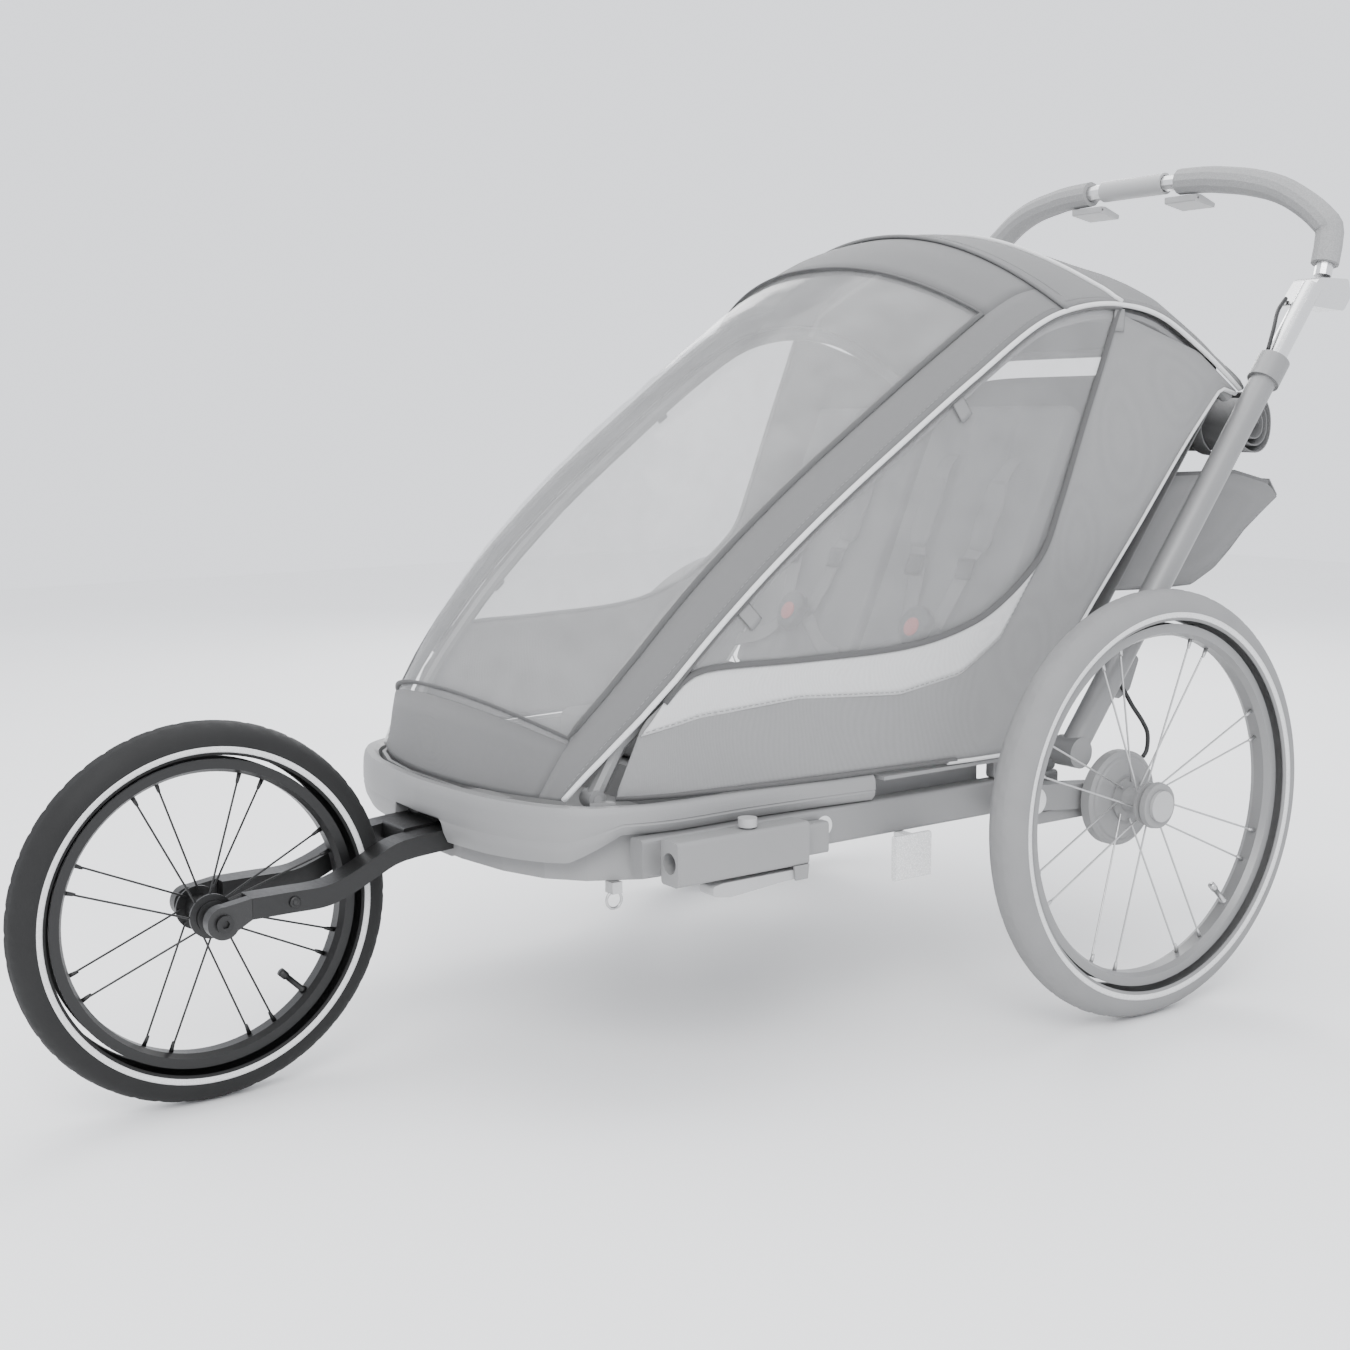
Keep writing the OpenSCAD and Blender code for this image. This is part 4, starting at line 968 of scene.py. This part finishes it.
# %% Cushion by cloth simulation
def cushion(name, low, high, finish, tilt=0.0, hinge=None, channels=3, swell=9.0):
    """A box of cloth between two corners in millimetres, blown up and quilted, then tilted."""
    size = Vector(high) - Vector(low)
    middle = (Vector(high) + Vector(low)) / 2
    shape = bmesh.new()
    bmesh.ops.create_cube(shape, size=1.0)
    for v in shape.verts:
        v.co = Vector((v.co.x * size.x, v.co.y * size.y, v.co.z * size.z)) * MM
    bmesh.ops.bevel(shape, geom=shape.edges[:], offset=min(size) * 0.32 * MM, segments=3, affect="EDGES",
                    profile=0.6)
    mesh = bpy.data.meshes.new(name)
    shape.to_mesh(mesh)
    shape.free()
    piece = bpy.data.objects.new(name, mesh)
    bpy.context.scene.collection.objects.link(piece)
    mesh.materials.append(finish)
    remesh = piece.modifiers.new("even", "REMESH")
    remesh.mode, remesh.voxel_size = "VOXEL", 0.0058
    apply_modifiers(piece)
    start = [v.co.copy() for v in piece.data.vertices]
    half = size * MM / 2
    pins = piece.vertex_groups.new(name="seams")
    for v in piece.data.vertices:
        lane = (v.co.x / size.x / MM + 0.5) * channels
        on_lane = abs(lane - round(lane)) * size.x * MM / channels < 0.004
        if on_lane or abs(v.co.x) > half.x - 0.006:
            pins.add([v.index], 1.0, "REPLACE")
    air = piece.modifiers.new("air", "CLOTH")
    air.settings.quality = 4
    air.settings.mass = 0.3
    air.settings.use_pressure = True
    air.settings.uniform_pressure_force = 4.0
    air.settings.vertex_group_mass = "seams"
    air.settings.effector_weights.gravity = 0
    air.settings.tension_stiffness = 12
    air.settings.bending_stiffness = 0.4
    air.point_cache.frame_start, air.point_cache.frame_end = 1, 16
    for frame_number in range(1, 17):
        bpy.context.scene.frame_set(frame_number)
    apply_modifiers(piece)
    bpy.context.scene.frame_set(1)
    for v, rest in zip(piece.data.vertices, start):
        moved = v.co - rest
        if moved.length > swell * MM:
            v.co = rest + moved.normalized() * swell * MM
        lane = (rest.x / size.x / MM + 0.5) * channels
        near = abs(lane - round(lane)) * size.x / channels
        dent = 2.6 * math.exp(-(near / 5.0) ** 2)
        up = 1 if rest.z > 0 else -1
        v.co.z -= up * dent * MM * (1 if 0.05 < lane < channels - 0.05 else 0)
        v.co.z += 0.7 * MM * math.sin(rest.x * 60 + rest.y * 41) * math.sin(rest.y * 33 - rest.x * 17)
    smoothed(piece)
    piece.data.polygons.foreach_set("use_smooth", [True] * len(piece.data.polygons))
    if tilt:
        foot = at(*hinge)
        piece.data.transform(Matrix.Translation(foot) @ Matrix.Rotation(math.radians(tilt), 4, "X")
                             @ Matrix.Translation(middle * MM))
    else:
        piece.data.transform(Matrix.Translation(at(*middle)))
    return piece


SEAT_FOOT, LEAN = (0, 858, 341.3), 66


def across_side(s, near, far):
    """The lower and the higher x of a pad between two distances from the middle, on side s."""
    return sorted((s * near, s * far))


for s, word in SIDES.items():
    x0, x1 = across_side(s, 6, 236)
    back_pad = cushion(f"seat_back_pad_{word}", (x0, 14, -13), (x1, 394, 15), seat_cloth,
                       LEAN, SEAT_FOOT, 3, 6)
    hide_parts(*(["seat_back"] if s > 0 else []))
    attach(back_pad, "seat_back")
    x0, x1 = across_side(s, 4, 242)
    bench_pad = cushion(f"seat_bench_pad_{word}", (x0, 568, 276), (x1, 830, 323), seat_cloth, 0, None, 3, 5)
    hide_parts(*(["seat_base"] if s > 0 else []))
    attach(bench_pad, "root")
print("cushions made")

# %% [markdown]
# ## Harness
# Each seat has two shoulder straps that sink into the backrest at the top, two waist straps, a crotch
# strap from the bench, chest pads and one buckle with a red release. The straps lie on the cushion and
# are not quite straight, because webbing keeps a twist.

# %% Straps, pads, adjusters and buckles
TILT_AXIS = (math.cos(math.radians(LEAN)), math.sin(math.radians(LEAN)))
SEAT_MIDDLE = 121


def on_back(x, up, out):
    """A point on the backrest: up along it from the hinge and out of its front."""
    return at(x, SEAT_FOOT[1] + up * TILT_AXIS[0] - out * TILT_AXIS[1],
              SEAT_FOOT[2] + up * TILT_AXIS[1] + out * TILT_AXIS[0])


for s, word in SIDES.items():
    middle = s * SEAT_MIDDLE
    parts = []
    for d in (-1, 1):
        line = [on_back(middle + d * (24 + 30 * min(k / 12, 1)) + 2 * math.sin(k * 0.5 + d),
                        96 + 230 * k / 24, 25 + 1.5 * math.sin(k * 0.7 + d) - 12 * (k / 24) ** 12)
                for k in range(25)]
        parts.append(tube("shoulder", line, 12.5, harness_web, 12, 0.10, ACROSS))
        pad = [on_back(middle + d * 54 + 1.2 * math.sin(k), 196 + 90 * k / 12, 27) for k in range(13)]
        parts.append(tube("pad", pad, lambda t: 18 - 5 * abs(2 * t - 1) ** 6, seat_cloth, 18, 0.30, ACROSS))
        ladder = [on_back(middle + d * 44, 158 + 26 * k / 4, 28) for k in range(5)]
        parts.append(tube("adjuster", ladder, 15, black_plastic, 8, 0.16, ACROSS))
    crotch = [at(middle, 758 + 44 * k / 10, 330 + 44 * (k / 10) ** 2) for k in range(11)]
    parts.append(tube("crotch", crotch, 12.5, harness_web, 12, 0.10, ACROSS))
    for d in (-1, 1):
        waist = [on_back(middle + d * (108 - 84 * k / 12), 42 + 44 * (k / 12) ** 2,
                         24 + 3 * math.sin(k * 0.5)) for k in range(13)]
        parts.append(tube("waist", waist, 9.5, harness_web, 12, 0.12, Vector((0, 0.4, 0.9))))
    harness = merged(f"harness_{word}", parts)
    body = [on_back(middle + 27 * math.cos(a) * (1.0 if math.sin(a) > 0 else 0.82), 90 + 27 * math.sin(a), 27)
            for a in (2 * math.pi * k / 28 for k in range(28))]
    lift = on_back(0, 0, 13) - on_back(0, 0, 0)
    n = len(body)
    shell = made("shell", body + [p + lift for p in body],
                 [tuple(range(n)), tuple(range(n, 2 * n))] + [(k, (k + 1) % n, n + (k + 1) % n, n + k)
                                                              for k in range(n)], black_plastic, False)
    shell = bevelled(shell, 3.2, 4, 50)
    ring = [on_back(middle + 12 * math.cos(a), 88 + 12 * math.sin(a), 39) for a in
            (2 * math.pi * k / 24 for k in range(24))]
    press = made("press", ring + [p + lift * 0.22 for p in ring],
                 [tuple(range(24)), tuple(range(24, 48))] + [(k, (k + 1) % 24, 24 + (k + 1) % 24, 24 + k)
                                                             for k in range(24)], button_red, False)
    press = bevelled(press, 1.0, 3, 50)
    buckle = merged(f"buckle_{word}", [shell, press])
    for piece in (harness, buckle):
        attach(piece, "seat_back")
    if s > 0:
        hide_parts("harness")
print("harness made")

# %% [markdown]
# ## Bumper
# The moulded bumper runs round the nose and back along the tub. The frame's section, with a shallow
# groove added, is swept along a finer path.

# %% Bumper
path_points = [(0, 250), (70, 254), (140, 263), (200, 284), (232, 308), (254, 348)]
path_points += [(max(half_width(y) - 6, 266.3), y) for y in (400, 485, 570, 655)]
half = [v for v in catmull([(x, y, 0) for x, y in path_points], 12)]
path = [Vector((-v.x, v.y, 0)) for v in half[:0:-1]] + half
SECTION = [(-1, 0.1), (-0.6, 0), (0.3, 0), (0.8, 0.18), (0.96, 0.34), (0.90, 0.38), (0.90, 0.41), (1, 0.45),
           (0.98, 0.62), (0.92, 0.8), (0.76, 0.93), (0.5, 1), (-0.4, 1), (-0.9, 0.93)]
rows = []
for k, p in enumerate(path):
    ahead = (path[min(k + 1, len(path) - 1)] - path[max(k - 1, 0)]).normalized()
    out = Vector((ahead.y, -ahead.x, 0))
    low = lookup(p.y, [(250, 245), (300, 249), (345, 277), (400, 277)])
    line = []
    for b, h in SECTION:
        q = p + out * b * 10
        z = low + h * (306 - low)
        if abs(q.x) < 57 and q.y < 270:
            z = max(z, 271)
        line.append(at(q.x, q.y, z))
    rows.append(line)
n = len(SECTION)
faces = [(i * n + j, i * n + (j + 1) % n, (i + 1) * n + (j + 1) % n, (i + 1) * n + j)
         for i in range(len(rows) - 1) for j in range(n)]
faces += [tuple(range(n)), tuple((len(rows) - 1) * n + j for j in range(n))]
bumper = made("bumper_moulding", [p for row in rows for p in row], faces, grey_plastic)
bumper.data.set_sharp_from_angle(angle=math.radians(38))
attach(bumper, "root")
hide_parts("bumper")
print("bumper made")

# %% [markdown]
# ## Screws, tags and small parts
# Six button-head screws and six sewn tabs show how the parts are held. The tabs tie the side walls to
# the hoops.

# %% Screws and tabs
def screw(x, y, z, r, face, finish=spoke_steel):
    """A button head with a hexagon socket; face is -1, 1 for a head on that side in x."""
    profile = [(0.01, 0.2), (r * 0.45, 0.2), (r * 0.45, 1.6), (r * 0.75, 1.7), (r * 0.95, 1.1), (r, 0.3),
               (r, -0.6), (0.01, -0.6)]
    centre = at(x, y, z)
    return turned("screw", [(a, x + face * b) for a, b in profile], centre, finish, 24,
                  lambda q, u, k: q * (0.9 if q < r * 0.5 and k % 4 else 1))


screws = []
for s in (-1, 1):
    screws += [screw(s * 57.2, 75, 208, 6, s, black_metal), screw(s * 297, 412, 262, 5, s),
               screw(s * 297, 560, 262, 5, s)]
root_screws = merged("frame_screws", screws)
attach(root_screws, "root")
tabs = []
for s in (-1, 1):
    for i in (index_at(470), index_at(760), BOW_AT):
        p, n = under_hoop(i, 4), hoop_normal(i)
        low = Vector((p.x - n[0] * 26, p.y - n[1] * 26))
        line = [wall_point(s, p.lerp(low, k / 4), 1.6) for k in range(5)]
        along_hoop = Vector((0, hoop[i + 1][0] - hoop[i][0], hoop[i + 1][1] - hoop[i][1]))
        tabs.append(tube("tab", line, 9, strap_web, 10, 0.12, along_hoop))
sewn_tabs = merged("sewn_tabs", tabs)
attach(sewn_tabs, "root")
crumple(sewn_tabs)
print("small parts made")

# %% [markdown]
# ## Cables
# Brake cables leave the uprights' boots and drop to the drums. Two more cables join the sliding
# handlebar to the uprights.

# %% Cables
BRAKE = [(321, 1006, 377), (327, 1010, 366), (334, 1014, 352), (341, 1022, 336), (344, 1029, 322),
         (345, 1030, 310), (345, 1028, 298), (345, 1022, 291.5)]
UP = Vector((0.6088, 0.7934))


def beside(x, t, d):
    return (x, PIVOT.x + t * UP.x + d * UP.y, PIVOT.y + t * UP.y - d * UP.x)


HANDLE = [beside(322, 571, -17.5), beside(316, 601, -19), beside(306, 633, -17), beside(303, 657, -11.5)]
CABLE_R = 2.6


def cable(name, s, line):
    return tube(name, [at(s * v.x, v.y, v.z) for v in catmull(line, 8)], CABLE_R, black_plastic, 14)


for s, word in SIDES.items():
    lower = cable(f"brake_hose_{word}", s, BRAKE)
    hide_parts(f"brake_cable_{word}")
    tuple(at(s * 345, 1022, 292))
    tuple(at(s * 321, 1006, 377))
    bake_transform(lower)
    upper = cable(f"handle_hose_{word}", s, HANDLE)
    if s > 0:
        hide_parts("handle_cables")
    tuple(at(s * 322, HANDLE[0][1], HANDLE[0][2]))
    tuple(at(s * 303, HANDLE[-1][1], HANDLE[-1][2]))
    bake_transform(upper)
print("cables made")

# %% [markdown]
# ## Finishes on the CAD parts
# The tubes, wheels and hinges are the frame's own meshes. Each gets the finish of its material, and
# their shapes are not touched.

# %% A finish for every CAD node
def lens():
    f = Finish("reflector_lens", 0.2)
    cells = f.node("ShaderNodeTexVoronoi", {"feature": "DISTANCE_TO_EDGE"}, {"Vector": f.place, "Scale": 420})
    return f.dress(f.blend(cells * 4.0, grey(0.62), grey(0.85)), 0.12 + cells * 0.3, cells, 0.0006)


FINISH_OF = {"grey_plastic": grey_plastic, "frame_grey": grey_frame, "silver_tube": silver_tube,
             "plain_steel": spoke_steel, "reflector_lens": lens(), "seat_fabric": seat_cloth,
             "side_fabric": side_cloth, "window_film": clear_film, "cover_fabric": cover_cloth,
             "black_metal": black_metal, "black_plastic": black_plastic, "black_tyre": black_rubber,
             "foam_grip": foam_grip, "light_plastic": pale_plastic, "grey_tyre": grey_rubber,
             "spoke_steel": spoke_steel, "webbing": strap_web}
for part in frame["record"]["subparts"]:
    mesh = frame["nodes"][part["node"]].data
    mesh.materials.clear()
    mesh.materials.append(FINISH_OF[part["material_slot"]])
